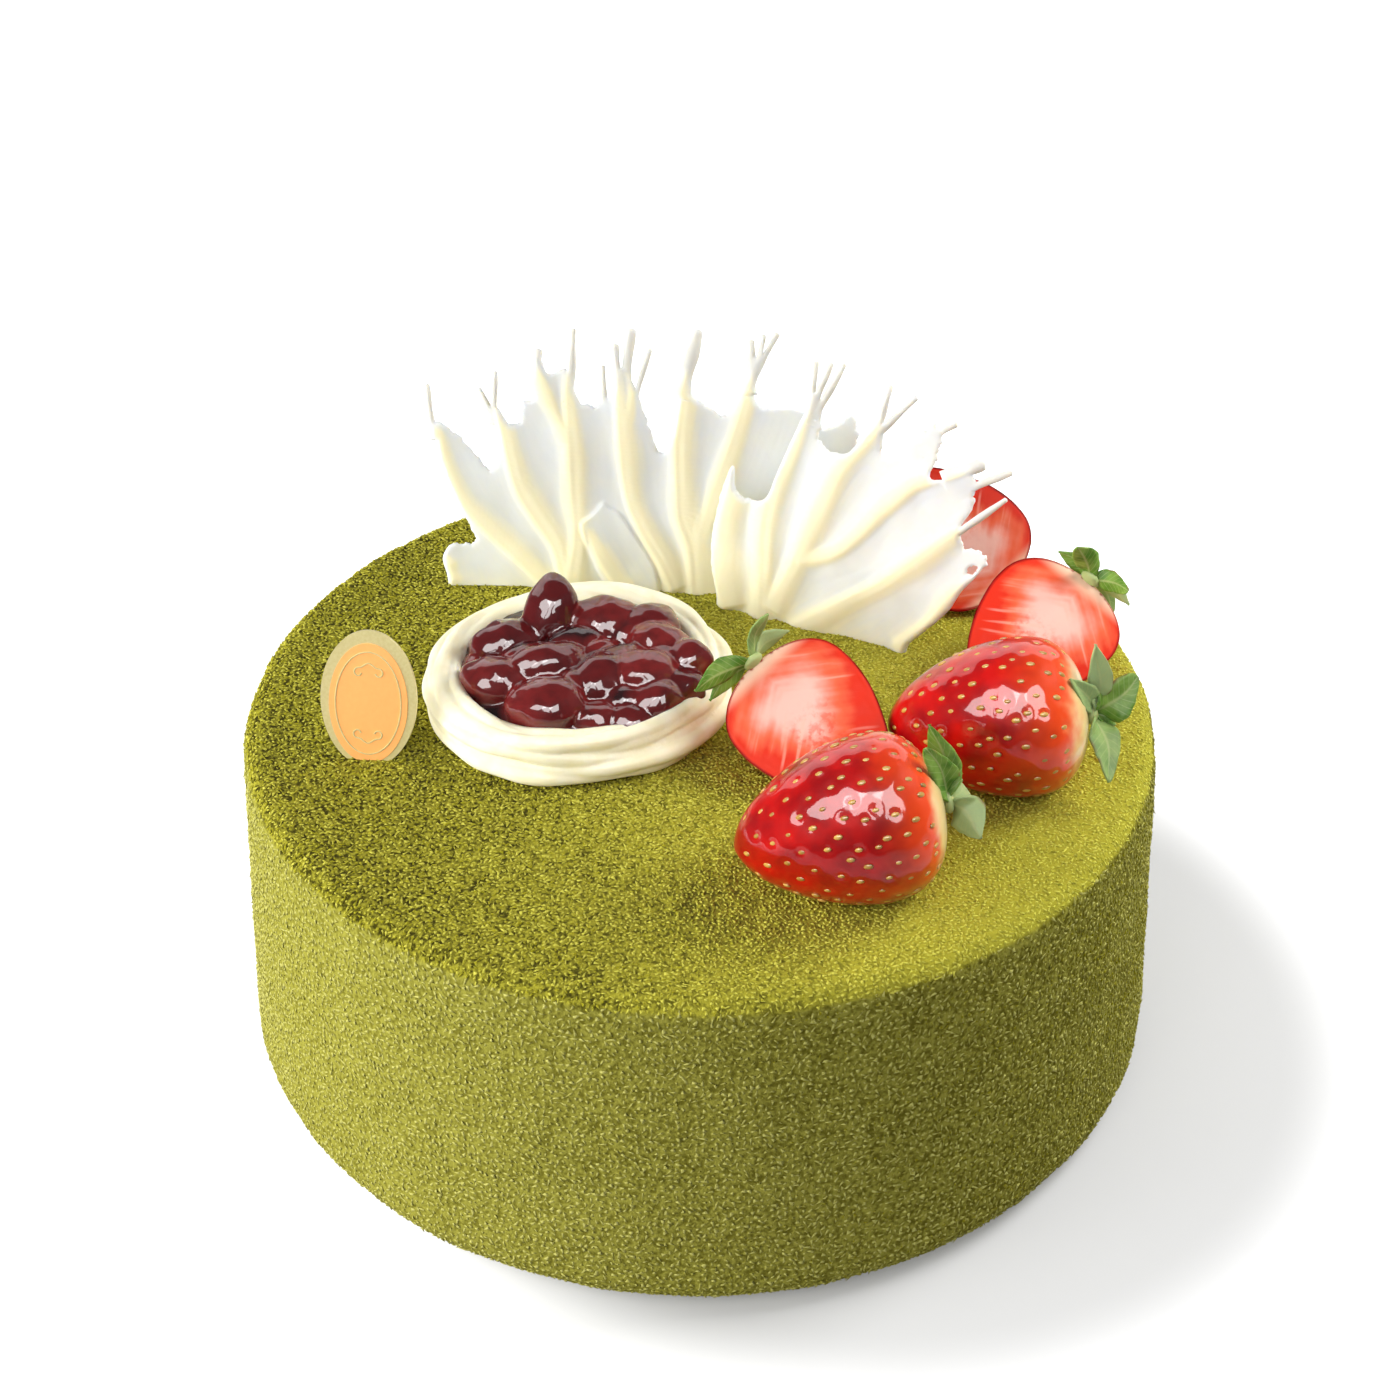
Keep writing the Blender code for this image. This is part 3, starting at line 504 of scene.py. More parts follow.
rightFan = {
    "name": "fanRight", "node": "fan_right", "foot": (18, 23.7), "yaw": -25, "lean": 15, "seed": 23,
    "tornEdge": [
        (-16.4, -3), (-16.4, 1.2), (-18.4, 6.3), (-19, 12), (-18.1, 21), (-16.4, 27.5), (-15.4, 20.9),
        (-9.3, 20.8), (-7.6, 28), (-5.4, 35), (-2.3, 44), (-0.8, 38), (-1.2, 34.7), (0.4, 32.8), (4.6, 32.8),
        (6.7, 36), (9, 41.5), (10.8, 40), (10.5, 34), (12.5, 33.9), (15.8, 38.1), (20, 41.3), (21.5, 40.3),
        (21, 36.5), (19.7, 31.6), (23.6, 32.6), (26.5, 35.5), (28.4, 33.4), (28.7, 28.3), (26.7, 24.7),
        (27.9, 20.8), (30.7, 21.1), (33.1, 20.1), (30.7, 15.9), (28.7, 13), (27.3, 9.1), (22.5, 3.3),
        (20.6, 1.2), (20.6, -3),
    ],
    "ridges": [
        ([(-16.5, 27), (-15.9, 22), (-16.8, 16.3), (-17.1, 11.2), (-16, 4.9), (-14, 0)], 2.3, 0.1, -1),
        ([(-2.7, 44), (-4.1, 37.5), (-5.7, 31.1), (-7.8, 23.7), (-8.6, 17.4), (-8.1, 9.9), (-7.5, 3),
          (-7.3, -1)], 1.9, 0.6, 0.2),
        ([(10.6, 44), (10.2, 40.3), (8, 36.5), (3.9, 30.7), (1.5, 24.6), (-0.2, 18.6), (-1.1, 14.8),
          (-3.1, 8.6), (-5.7, 1.5)], 1.8, 0.4, -0.3),
        ([(28.8, 36.2), (25.2, 33.8), (20.6, 31.7), (17.1, 29.4), (12.8, 24.4), (8.8, 18.7), (5.5, 15),
          (1.6, 12.9), (-1.6, 11.8)], 1.25, 0.15, 0.7),
        ([(32.5, 29.8), (27.2, 24.5), (22.4, 19.5), (18, 15.2), (13.7, 11), (7.8, 6.4), (2.1, 1.6),
          (-1, -1)], 1.45, 0.25, -0.8),
        ([(30.5, 16.6), (26.7, 11), (23.6, 5.5), (19.5, 0.6)], 1.0, 0, 0.5),
    ],
    "spikes": [
        ((-2.8, 41), (-3.2, 48), 0.42), ((-2, 42), (-0.6, 48.2), 0.4), ((-1.5, 40), (1.6, 48.6), 0.42),
        ((9.2, 39), (10.6, 46.6), 0.5), ((9.4, 38), (15.6, 45.4), 0.42), ((20.2, 40), (23.4, 42.2), 0.5),
        ((25.6, 34), (29.3, 36.4), 0.9), ((27.6, 31.5), (34.3, 36.2), 0.5), ((26, 22.6), (34, 31.5), 0.45),
        ((18.6, 39), (19.2, 41.8), 0.5),
    ],
    "layers": [],
    "holes": [((30.2, 17.6), 1.1, 0.65, 40)],
}
fanSheet = {
    # the mesh and the thin web, whose rim is rounded from edgeShare of its thickness up to all of it
    "grid": 0.4, "rowRise": 0.87, "edgeStep": 0.3, "webThickness": 0.6, "edgeRounding": 0.8, "edgeShare": 0.4,
    # ridges: narrow at the tip, with a groove in the hump and a low skirt beside it
    "ridgeRise": 0.42, "ridgeWidth": 1.25, "ridgeWave": 0.12, "tipWidth": 0.36, "tipShare": 0.4,
    "endFade": 0.9, "grooveDepth": 0.35, "grooveWidth": 0.36, "humpRise": 0.82, "skirtRise": 0.22,
    "skirtWidth": 2.3,
    # the web between them sags back, waves and thickens at its foot and where a layer lies on it
    "sag": 0.35, "sagReach": 3, "wave": 0.5, "ripple": 0.07, "streak": 0.03,
    "footRise": 0.3, "footReach": 4, "layerRise": 0.5, "layerEdge": 0.4,
    # torn edges, calmer along the ridges and at the foot
    "tear": 0.55, "tearSize": 1.3, "calmTear": 0.12, "footTear": 0.2,
    # hairs, as wide as each spike says times spikeWidth
    "spikeWidth": 1.75, "spikeRoot": 3.4, "spikeStep": 0.6, "hairBlend": 1.2,
}


def smoothLine(points, count):
    # even steps along a smooth curve through the points
    points = np.array(points, float)
    points = np.concatenate([[2 * points[0] - points[1]], points, [2 * points[-1] - points[-2]]])
    t = np.linspace(0, 1, 12, endpoint=False)[:, None]
    made = []
    for a, b, c, d in zip(points, points[1:], points[2:], points[3:]):
        curve = 2 * b + (c - a) * t
        curve = curve + (2 * a - 5 * b + 4 * c - d) * t ** 2
        curve = curve + (3 * b - a - 3 * c + d) * t ** 3
        made.append(0.5 * curve)
    made = np.concatenate(made + [points[-2:-1]])
    length = np.concatenate([[0], np.cumsum(np.linalg.norm(np.diff(made, axis=0), axis=1))])
    wanted = np.linspace(0, length[-1], count)
    return np.stack([np.interp(wanted, length, made[:, 0]), np.interp(wanted, length, made[:, 1])], axis=1)


def insideLoop(points, loop):
    x, y = points[:, 0], points[:, 1]
    inside = np.zeros(len(points), bool)
    for (ax, ay), (bx, by) in zip(loop, np.roll(loop, -1, axis=0)):
        crosses = (ay > y) != (by > y)
        with np.errstate(divide="ignore", invalid="ignore"):
            inside ^= crosses & (x < (bx - ax) * (y - ay) / (by - ay) + ax)
    return inside


def loopDistance(points, loop):
    least = np.full(len(points), np.inf)
    for start, end in zip(loop, np.roll(loop, -1, axis=0)):
        along = end - start
        t = np.clip(((points - start) @ along) / max(along @ along, 1e-9), 0, 1)
        least = np.minimum(least, np.linalg.norm(points - start - t[:, None] * along, axis=1))
    return least


def softened(loop):
    # two rounds of corner cutting on a closed loop
    loop = np.array(loop, float)
    for _ in range(2):
        following = np.roll(loop, -1, axis=0)
        loop = np.stack([loop * 0.8 + following * 0.2, loop * 0.2 + following * 0.8], axis=1).reshape(-1, 2)
    return loop


def tornLoop(fan):
    # the outline in short steps, ragged where it is torn and smooth along the ridges
    loop = softened(fan["tornEdge"])
    ridges = np.concatenate([smoothLine(ridge[0], 50) for ridge in fan["ridges"]])
    made = []
    for start, end in zip(loop, np.roll(loop, -1, axis=0)):
        length = np.linalg.norm(end - start)
        count = max(1, math.ceil(length / fanSheet["edgeStep"]))
        across = np.array([end[1] - start[1], start[0] - end[0]]) / max(length, 1e-6)
        for i in range(count):
            point = start + (end - start) * i / count
            apart = np.linalg.norm(ridges - point, axis=1).min()
            ragged = fanSheet["tear"] * min(1, max(fanSheet["calmTear"], (apart - 1.2) / 2))
            if point[1] < fanSheet["footReach"]:
                ragged *= fanSheet["footTear"]
            spot = Vector((point[0] / fanSheet["tearSize"], point[1] / fanSheet["tearSize"], fan["seed"]))
            wave = noise.noise(spot) + 0.6 * noise.noise(spot * 2.7) + 0.4 * noise.noise(spot * 6)
            made.append(point + across * ragged * wave)
    return np.array(made)


def spikeLoop(foot, tip, width, seed):
    # a thin tapered hair with a rounded end
    foot, tip = np.array(foot, float), np.array(tip, float)
    along = (tip - foot) / np.linalg.norm(tip - foot)
    foot = foot - along * fanSheet["spikeRoot"]
    across = np.array([-along[1], along[0]])
    count = max(4, round(np.linalg.norm(tip - foot) / fanSheet["spikeStep"]))
    left, right = [], []
    for i in range(count + 1):
        t = i / count
        half = fanSheet["spikeWidth"] * width * (1.25 - 0.65 * t ** 0.6) * (1 + 0.15 * math.sin(9 * t + seed))
        centre = foot + (tip - foot) * t + across * 0.25 * math.sin(2.5 * t + seed)
        left.append(centre + across * half)
        right.append(centre - across * half)
    cap = centre + along * half * 0.5
    return np.array(left + [cap] + right[::-1])


def ridgeOver(points, index, line, width, groove, sharp):
    # one ridge at the points: its rise, its creamy share, and how far to its side and from it they lie
    line = smoothLine(line, 80)
    steps = np.diff(line, axis=0)
    rightward = np.stack([-steps[:, 1], steps[:, 0]], axis=1) / np.linalg.norm(steps, axis=1)[:, None]
    apart = points[:, None, :] - line[None, :-1, :]
    distance = np.linalg.norm(apart, axis=2)
    closest = distance.argmin(axis=1)
    rows = np.arange(len(points))
    side = (apart[rows, closest] * rightward[closest]).sum(axis=1)
    distance = distance[rows, closest]
    t = closest / (len(line) - 2)
    past = np.sqrt(np.maximum(0, distance ** 2 - side ** 2))
    ends = np.exp(-(past / fanSheet["endFade"]) ** 2)
    grown = fanSheet["tipWidth"] + (1 - fanSheet["tipWidth"]) * np.minimum(1, t / fanSheet["tipShare"])
    half = fanSheet["ridgeWidth"] * width * grown * (1 + fanSheet["ridgeWave"] * np.sin(11 * t + index))
    leaning = 1 - 0.42 * sharp * np.tanh(side / 0.5)
    hump = np.exp(-np.abs(side / (half * leaning)) ** 2.4)
    hollow = np.exp(-((side - 0.1 * half) / (fanSheet["grooveWidth"] * half)) ** 2)
    furrow = 1 - fanSheet["grooveDepth"] * groove * hollow * np.minimum(1, t / 0.15)
    skirt = np.exp(-(side / (fanSheet["skirtWidth"] * half * leaning)) ** 2)
    rise = fanSheet["ridgeRise"] * half * ends
    rise = rise * (fanSheet["humpRise"] * hump * furrow + fanSheet["skirtRise"] * skirt)
    tone = (0.75 * hump * (0.65 + 0.35 * furrow) + 0.3 * skirt) * ends * (0.2 + 0.8 * np.minimum(1, t / 0.22))
    return rise, tone, side, distance


def fanHeights(fan, points, edgeDistance):
    # front and back of the sheet, forward of its middle plane, and its creamy share
    total = np.zeros(len(points))
    cream = np.zeros(len(points))
    nearest = np.full(len(points), np.inf)
    lane = np.zeros(len(points))
    for index, ridge in enumerate(fan["ridges"]):
        rise, tone, side, distance = ridgeOver(points, index, *ridge)
        total += rise ** 4
        cream = np.maximum(cream, tone)
        lane = np.where(distance < nearest, side + 17 * index, lane)
        nearest = np.minimum(nearest, distance)
    crest = total ** 0.25
    sag = -fanSheet["sag"] * (1 - np.exp(-(nearest / fanSheet["sagReach"]) ** 2))
    foot = np.exp(-np.maximum(0, points[:, 1]) / fanSheet["footReach"])
    layer = np.zeros(len(points))
    for loop in fan["layers"]:
        loop = softened(loop)
        signed = loopDistance(points, loop) * np.where(insideLoop(points, loop), 1, -1)
        layer += np.clip(signed / fanSheet["layerEdge"] + 0.5, 0, 1)
    streaks = np.array([noise.noise((a * 1.6, p[1] * 0.1, fan["seed"])) for a, p in zip(lane, points)])
    ripples = np.array([noise.noise((p[0] / 3.2, p[1] / 5, fan["seed"] + 9)) for p in points])
    waves = np.array([noise.noise((p[0] / 9, p[1] / 14, fan["seed"] + 5)) for p in points])
    web = fanSheet["webThickness"] / 2
    front = web + crest + fanSheet["footRise"] * foot + fanSheet["layerRise"] * layer
    front += fanSheet["ripple"] * ripples
    front += fanSheet["streak"] * streaks * (1 + crest)
    back = -web - 0.12 * crest - 0.1 * foot
    middle = sag + fanSheet["wave"] * waves
    rounding = np.sqrt(np.clip(edgeDistance / fanSheet["edgeRounding"], 0, 1))
    rounded = fanSheet["edgeShare"] + (1 - fanSheet["edgeShare"]) * rounding
    cream = np.clip(cream + 0.5 * foot + 0.12 * streaks, 0, 1)
    cream *= 0.25 + 0.75 * np.clip(edgeDistance / 1.2, 0, 1)
    return middle + front * rounded, middle + back * rounded, cream


def fanPlace(fan):
    yaw, lean = math.radians(fan["yaw"]), math.radians(fan["lean"])
    across = Vector((math.cos(yaw), math.sin(yaw), 0))
    back = Vector((-math.sin(yaw), math.cos(yaw), 0))
    up = Vector((0, 0, math.cos(lean))) + back * math.sin(lean)
    place = Matrix((across, up, across.cross(up))).transposed().to_4x4()
    place.translation = Vector((fan["foot"][0] * mm, fan["foot"][1] * mm, cakeTop))
    return place


def distanceTo(spots, points):
    tree = kdtree.KDTree(len(spots))
    for i, spot in enumerate(spots):
        tree.insert((*spot, 0), i)
    tree.balance()
    return np.array([tree.find((*p, 0))[2] for p in points])


def innerPoints(fan, outline, hairs):
    # a slightly uneven grid inside the outline and a row along the middle of each hair
    low, high = outline.min(axis=0), outline.max(axis=0)
    step, rise = fanSheet["grid"], fanSheet["rowRise"]
    chance = random.Random(fan["seed"])
    grid = []
    for row in range(int((high[1] - low[1]) / (step * rise)) + 1):
        for column in range(int((high[0] - low[0]) / step) + 1):
            x = low[0] + (column + 0.5 * (row % 2) + chance.uniform(-0.1, 0.1)) * step
            grid.append((x, low[1] + row * step * rise))
    grid = np.array(grid)
    made = [grid[insideLoop(grid, outline)]]
    for hair in hairs:
        half = len(hair) // 2
        made.append((hair[:half] + hair[::-1][:half]) / 2)
    return np.concatenate(made)


def fanMesh(fan):
    # flat triangles inside the torn outline and its hairs, less the holes
    outline = tornLoop(fan)
    hairs = [spikeLoop(*spike, i) for i, spike in enumerate(fan["spikes"])]
    corners, edges = [], []
    for loop in [outline, *hairs]:
        start = len(corners)
        corners += [Vector(p) for p in loop]
        edges += [(start + i, start + (i + 1) % len(loop)) for i in range(len(loop))]
    inner = innerPoints(fan, outline, hairs)
    inner = inner[distanceTo(corners, inner) > fanSheet["grid"] * 0.55]
    made = delaunay_2d_cdt(corners + [Vector(p) for p in inner], edges, [], 1, 0.0001)
    points = np.array([tuple(p) for p in made[0]])
    faces = np.array([tuple(f) for f in made[2]])
    for centre, longHalf, shortHalf, turn in fan["holes"]:
        c, s = math.cos(math.radians(turn)), math.sin(math.radians(turn))
        apart = points[faces].mean(axis=1) - centre
        faces = faces[(apart @ (c, s) / longHalf) ** 2 + (apart @ (-s, c) / shortHalf) ** 2 > 1]
    used = np.unique(faces)
    points, faces = points[used], np.searchsorted(used, faces)
    first, second = points[faces[:, 1]] - points[faces[:, 0]], points[faces[:, 2]] - points[faces[:, 0]]
    backward = first[:, 0] * second[:, 1] - first[:, 1] * second[:, 0] < 0
    faces[backward] = faces[backward][:, ::-1]
    hair = np.where(insideLoop(points, outline), 0, loopDistance(points, outline))
    return points, faces, np.clip(hair / fanSheet["hairBlend"], 0, 1)


def makeFan(fan, material):
    points, faces, hair = fanMesh(fan)
    directed = np.concatenate([faces[:, [0, 1]], faces[:, [1, 2]], faces[:, [2, 0]]])
    known = set(map(tuple, directed))
    border = [(a, b) for a, b in directed if (b, a) not in known]
    rim = sorted({a for a, b in border} | {b for a, b in border})
    front, back, cream = fanHeights(fan, points, distanceTo(points[rim], points))
    both = np.concatenate([np.column_stack([points, front]), np.column_stack([points, back])])
    count = len(points)
    allFaces = [tuple(f) for f in faces] + [tuple(f[::-1] + count) for f in faces]
    allFaces += [(b, a, a + count, b + count) for a, b in border]
    obj = newMesh(fan["name"], moved(both * mm, fanPlace(fan)), allFaces)
    setAttribute(obj, "cream", np.tile(cream, 2))
    setAttribute(obj, "height", np.tile(points[:, 1], 2))
    setAttribute(obj, "hair", np.tile(hair, 2))
    finishPiece(obj, material, "chocolate", fan["node"])


def chocolateMaterial():
    material, tree, shader = newMaterial(
        "whiteChocolate", Roughness=0.5, Subsurface_Weight=0.65, Subsurface_Radius=(1, 0.85, 0.6),
        Subsurface_Scale=1.1 * mm, Specular_IOR_Level=0.2, Coat_Weight=0.03, Coat_Roughness=0.3, IOR=1.46)
    place = objectPlace(tree)
    tall = attribute(tree, "height")
    thin = mixColour(tree, between(tree, tall, 2, 30), (212, 214, 208), (215, 219, 221))
    # painted shade: from 34 mm up and along the hairs the chocolate is greyed, darkening the thin tips and
    # hairs
    thin = mixColour(tree, between(tree, tall, 34, 43), thin, (206, 207, 202))
    cloud = spotNoise(tree, place, 7 * mm, 2.0)
    thin = mixColour(tree, between(tree, cloud, 0.3, 0.7), thin, (220, 222, 218))
    colour = mixColour(tree, between(tree, attribute(tree, "cream"), 0.1, 0.85), thin, (236, 230, 197))
    paintedTipShade = calc(tree, "MAXIMUM", between(tree, tall, 41, 46, 0.0, 0.8), attribute(tree, "hair"))
    paint(tree, shader, mixColour(tree, paintedTipShade, colour, (205, 205, 199)))
    bump(tree, shader, spotNoise(tree, place, 1.6 * mm, 2.0), 0.04 * mm)
    return material


# Nest: piped windings that cross and sink into each other

nest = {
    "centre": (-21, 0.5), "radius": 22.7, "strand": 1.42, "uneven": 0.25, "steps": 240, "sides": 12,
    "sway": 1.0, "wander": 0.7, "bob": 0.7, "lowest": 0.8, "highest": 7.6,
    "voxel": 0.28, "smoothing": 0.5, "rounds": 1,
}
# Each winding: outward shift, height, sway and phase
windings = [
    (1.9, 1.5, 0.5, 0.0), (-0.6, 1.6, 0.6, 1.2), (2.3, 3.0, 0.7, 2.5), (0.2, 3.6, 0.8, 4.0),
    (-1.9, 3.2, 0.5, 5.1), (1.6, 4.7, 0.9, 0.8), (-1.3, 5.2, 0.8, 3.1), (0.9, 6.1, 0.9, 1.9),
    (-0.7, 6.7, 0.8, 4.6), (0.6, 7.3, 0.8, 5.8), (-1.6, 6.6, 0.6, 0.3),
]


def windingLine(shift, height, sway, phase):
    line, radii = [], []
    for i in range(nest["steps"]):
        angle = 2 * math.pi * i / nest["steps"]
        spot = Vector((math.cos(angle) * 1.7, math.sin(angle) * 1.7, phase * 3))
        cross = sway * nest["sway"] * math.sin(angle * 2 + phase)
        radius = nest["radius"] + shift + cross + nest["wander"] * noise.noise(spot)
        level = height + nest["bob"] * sway * math.sin(angle * 3 + 2 * phase)
        level += nest["wander"] * noise.noise(spot + Vector((9, 4, 2)))
        level = max(nest["strand"] * nest["lowest"], min(level, nest["highest"]))
        line.append(((nest["centre"][0] + radius * math.cos(angle)) * mm,
                     (nest["centre"][1] + radius * math.sin(angle)) * mm, cakeTop + level * mm))
        radii.append(nest["strand"] * mm * (1 + nest["uneven"] * noise.noise(spot * 1.9)))
    return line, radii


def creamMaterial():
    material, tree, shader = newMaterial(
        "pipedCream", Roughness=0.5, Specular_IOR_Level=0.3, Subsurface_Weight=0.5, Coat_Weight=0.1,
        Subsurface_Radius=(1, 0.85, 0.6), Subsurface_Scale=1.2 * mm, Coat_Roughness=0.3)
    place = objectPlace(tree)
    cloud = between(tree, spotNoise(tree, place, 4 * mm, 2.0), 0.3, 0.7)
    paint(tree, shader, mixColour(tree, cloud, (239, 231, 196), (244, 238, 212)))
    bump(tree, shader, spotNoise(tree, place, 1.1 * mm, 2.0), 0.05 * mm)
    return material


def makeNest():
    strands = [tube("strand", *windingLine(*winding), nest["sides"], closed=True) for winding in windings]
    obj = remeshed(joined("creamNest", strands), nest["voxel"] * mm, nest["smoothing"], nest["rounds"])
    finishPiece(obj, creamMaterial(), "cream", "nest")


# Beans: large ones where they lie in the heap, over a pool of thick syrup that fillets them together

heap = {
    "radius": 20.2, "poolHeight": 7.0, "poolRise": 2.4, "poolFoot": 0.6, "poolRings": 12, "poolSides": 72,
    "ripple": 1.2, "rippleSize": 5, "size": 1.04, "bend": 0.5, "thinning": 0.25, "lumps": 0.05,
    "uneven": 0.3, "unevenSize": 3.4, "voxel": 0.3, "smoothing": 0.6, "rounds": 8, "syrupSpan": (1.02, 1.3),
}
# Each bean: across, along and height of its middle, length, width, depth, heading and tilt
beans = [
    (-26.4, 9.4, 12.4, 13, 9, 8, 60, -42), (-17, 9.4, 10, 13.6, 11, 9, 4, 0),
    (-8.9, 8.6, 9.6, 11.4, 9.6, 8, 60, 8), (-7.4, 3, 9.4, 12.4, 9.6, 8, -25, 0),
    (-2.4, -1.2, 9, 8.6, 8.6, 7.6, 80, 0), (-33.4, 4.4, 9, 12.6, 9.6, 8, 28, 0),
    (-34, -6.2, 8.6, 13.6, 9.6, 8, -8, 0), (-25.6, -3.6, 10, 14.6, 8.4, 7.6, 28, 6),
    (-17, 0.4, 9.2, 8.4, 6.2, 5.6, 8, 0), (-25.4, -13, 8.6, 13.6, 11.4, 9, 22, 0),
    (-17, -6.6, 9.2, 12.4, 9.8, 8, 70, 0), (-9.6, -5.8, 9.6, 12.4, 10, 8, 15, 0),
    (-7.4, -11.4, 8, 10, 8, 7, 20, 0), (-3.6, -7.6, 7.6, 9.4, 8.4, 7, 60, 0),
    (-17.6, -15, 6.8, 9, 7, 6, 20, 0), (-11.6, -15.2, 6.4, 8.8, 7, 6, -15, 0),
    (-29.6, 10.4, 7, 8, 6.8, 6, 70, 0), (-22, 15, 6.6, 8.4, 6.4, 5.6, 0, 0),
    (-12, 14.6, 7, 8.8, 6.4, 5.8, -15, 0), (-38, 0, 6.4, 7.6, 6.2, 5.4, 90, 0),
]
# Drops of syrup that fill the gaps between the highest beans, given in the same way
syrupBridges = [
    (-29.4, -1, 9.8, 10, 6, 4.6, 30, 0), (-21, 3, 10.4, 10, 6, 4.6, 10, 0),
    (-12.6, 5.8, 10.4, 9, 6.4, 4.6, -30, 0), (-13.2, -2.6, 10.4, 11, 7, 4.6, 20, 0),
    (-21.4, -9.2, 9.8, 8, 6, 4.4, 60, 0), (-6.6, -1.6, 10, 9, 6, 4.4, 90, 0),
    (-28.4, 6.6, 9.8, 9, 5, 4.2, 60, 0), (-30, -10, 8.6, 8, 5, 4.2, -40, 0),
    (-12.2, -11.2, 8.4, 10, 6, 4.6, 0, 0),
]


def beanTurn(heading, tilt):
    return Matrix.Rotation(math.radians(heading), 3, "Z") @ Matrix.Rotation(math.radians(tilt), 3, "Y")


def beanShape(bean):
    # a ball bent into a bean, thinner towards its ends and slightly lumpy
    x, y, z, length, width, depth, heading, tilt = bean
    work = bmesh.new()
    bmesh.ops.create_icosphere(work, subdivisions=4, radius=0.5)
    for vertex in work.verts:
        spot = vertex.co.copy()
        vertex.co.y += heap["bend"] * spot.x ** 2 - 0.06
        vertex.co.z *= 1 - heap["thinning"] * abs(spot.x)
        vertex.co *= 1 + heap["lumps"] * noise.noise(spot * 4 + Vector((x, y, z)))
    place = Matrix.Translation((x * mm, y * mm, cakeTop + z * mm)) @ beanTurn(heading, tilt).to_4x4()
    grown = heap["size"] * mm
    work.transform(place @ Matrix.Diagonal((length * grown, width * grown, depth * grown, 1)))
    return fromBmesh("bean", work)


def syrupPool():
    # a low dome with slow waves on it
    profile = []
    for i in range(heap["poolRings"] + 1):
        share = i / heap["poolRings"]
        profile.append((heap["radius"] * share, heap["poolHeight"] + heap["poolRise"] * (1 - share ** 2)))
    profile += [(heap["radius"], heap["poolFoot"]), (0, heap["poolFoot"])]
    points, faces, _ = turnedBody(profile, heap["poolSides"])
    for point in points:
        if point[2] > 3:
            waves = (point[0] / heap["rippleSize"], point[1] / heap["rippleSize"], 3)
            point[2] += heap["ripple"] * noise.noise(waves)
    points += (nest["centre"][0], nest["centre"][1], cakeTop / mm)
    return newMesh("pool", points * mm, faces)


def unevenSkin(obj):
    # pushes the fused skin in and out along its own directions
    spots = np.empty(len(obj.data.vertices) * 3, np.float32)
    outward = spots.copy()
    obj.data.vertices.foreach_get("co", spots)
    obj.data.vertex_normals.foreach_get("vector", outward)
    spots = spots.reshape(-1, 3).astype(float)
    wide = heap["unevenSize"]
    push = [noise.noise(Vector(p) / wide) + 0.15 * noise.noise(Vector(p) / 1.3) for p in spots / mm]
    spots += outward.reshape(-1, 3) * np.array(push)[:, None] * heap["uneven"] * mm
    obj.data.vertices.foreach_set("co", spots.ravel())
    obj.data.update()
    return spots


def markBeans(obj, spots):
    # which bean each point is nearest to, and how far out of it, in the syrup, the point lies
    least = np.full(len(spots), np.inf)
    which = np.zeros(len(spots))
    for index, (x, y, z, length, width, depth, heading, tilt) in enumerate(beans):
        local = (spots / mm - (x, y, cakeTop / mm + z)) @ np.array(beanTurn(heading, tilt))
        halves = np.array([length, width, depth]) * heap["size"] / 2
        share = np.sqrt(((local / halves) ** 2).sum(axis=1))
        which = np.where(share < least, index, which)
        least = np.minimum(least, share)
    first, last = heap["syrupSpan"]
    setAttribute(obj, "syrup", np.clip((least - first) / (last - first), 0, 1))
    setAttribute(obj, "bean", (which * 0.618) % 1)


def beanMaterial():
    material, tree, shader = newMaterial(
        "beansInSyrup", Roughness=0.35, Specular_IOR_Level=0.05, Subsurface_Weight=0.1,
        Subsurface_Radius=(1, 0.25, 0.2), Subsurface_Scale=1.5 * mm,
        Coat_Weight=1.0, Coat_Roughness=0.05, Coat_IOR=1.6)
    place = objectPlace(tree)
    bean = mixColour(tree, attribute(tree, "bean"), (80, 15, 17), (116, 29, 28))
    mottle = between(tree, spotNoise(tree, place, 1.8 * mm, 4.0), 0.35, 0.75)
    bean = mixColour(tree, calc(tree, "MULTIPLY", mottle, 0.5), bean, (62, 12, 14))
    paint(tree, shader, mixColour(tree, attribute(tree, "syrup"), bean, (38, 11, 14)))
    bump(tree, shader, spotNoise(tree, place, 1.6 * mm), 0.04 * mm)
    return material


def makeBeans():
    parts = [beanShape(bean) for bean in beans + syrupBridges] + [syrupPool()]
    obj = remeshed(joined("beanHeap", parts), heap["voxel"] * mm, heap["smoothing"], heap["rounds"])
    markBeans(obj, unevenSkin(obj))
    finishPiece(obj, beanMaterial(), "sweet_bean", "beans")


# Berries: a turned body with dimples, and a half is flattened at its cut. Seeds lie in the dimples.

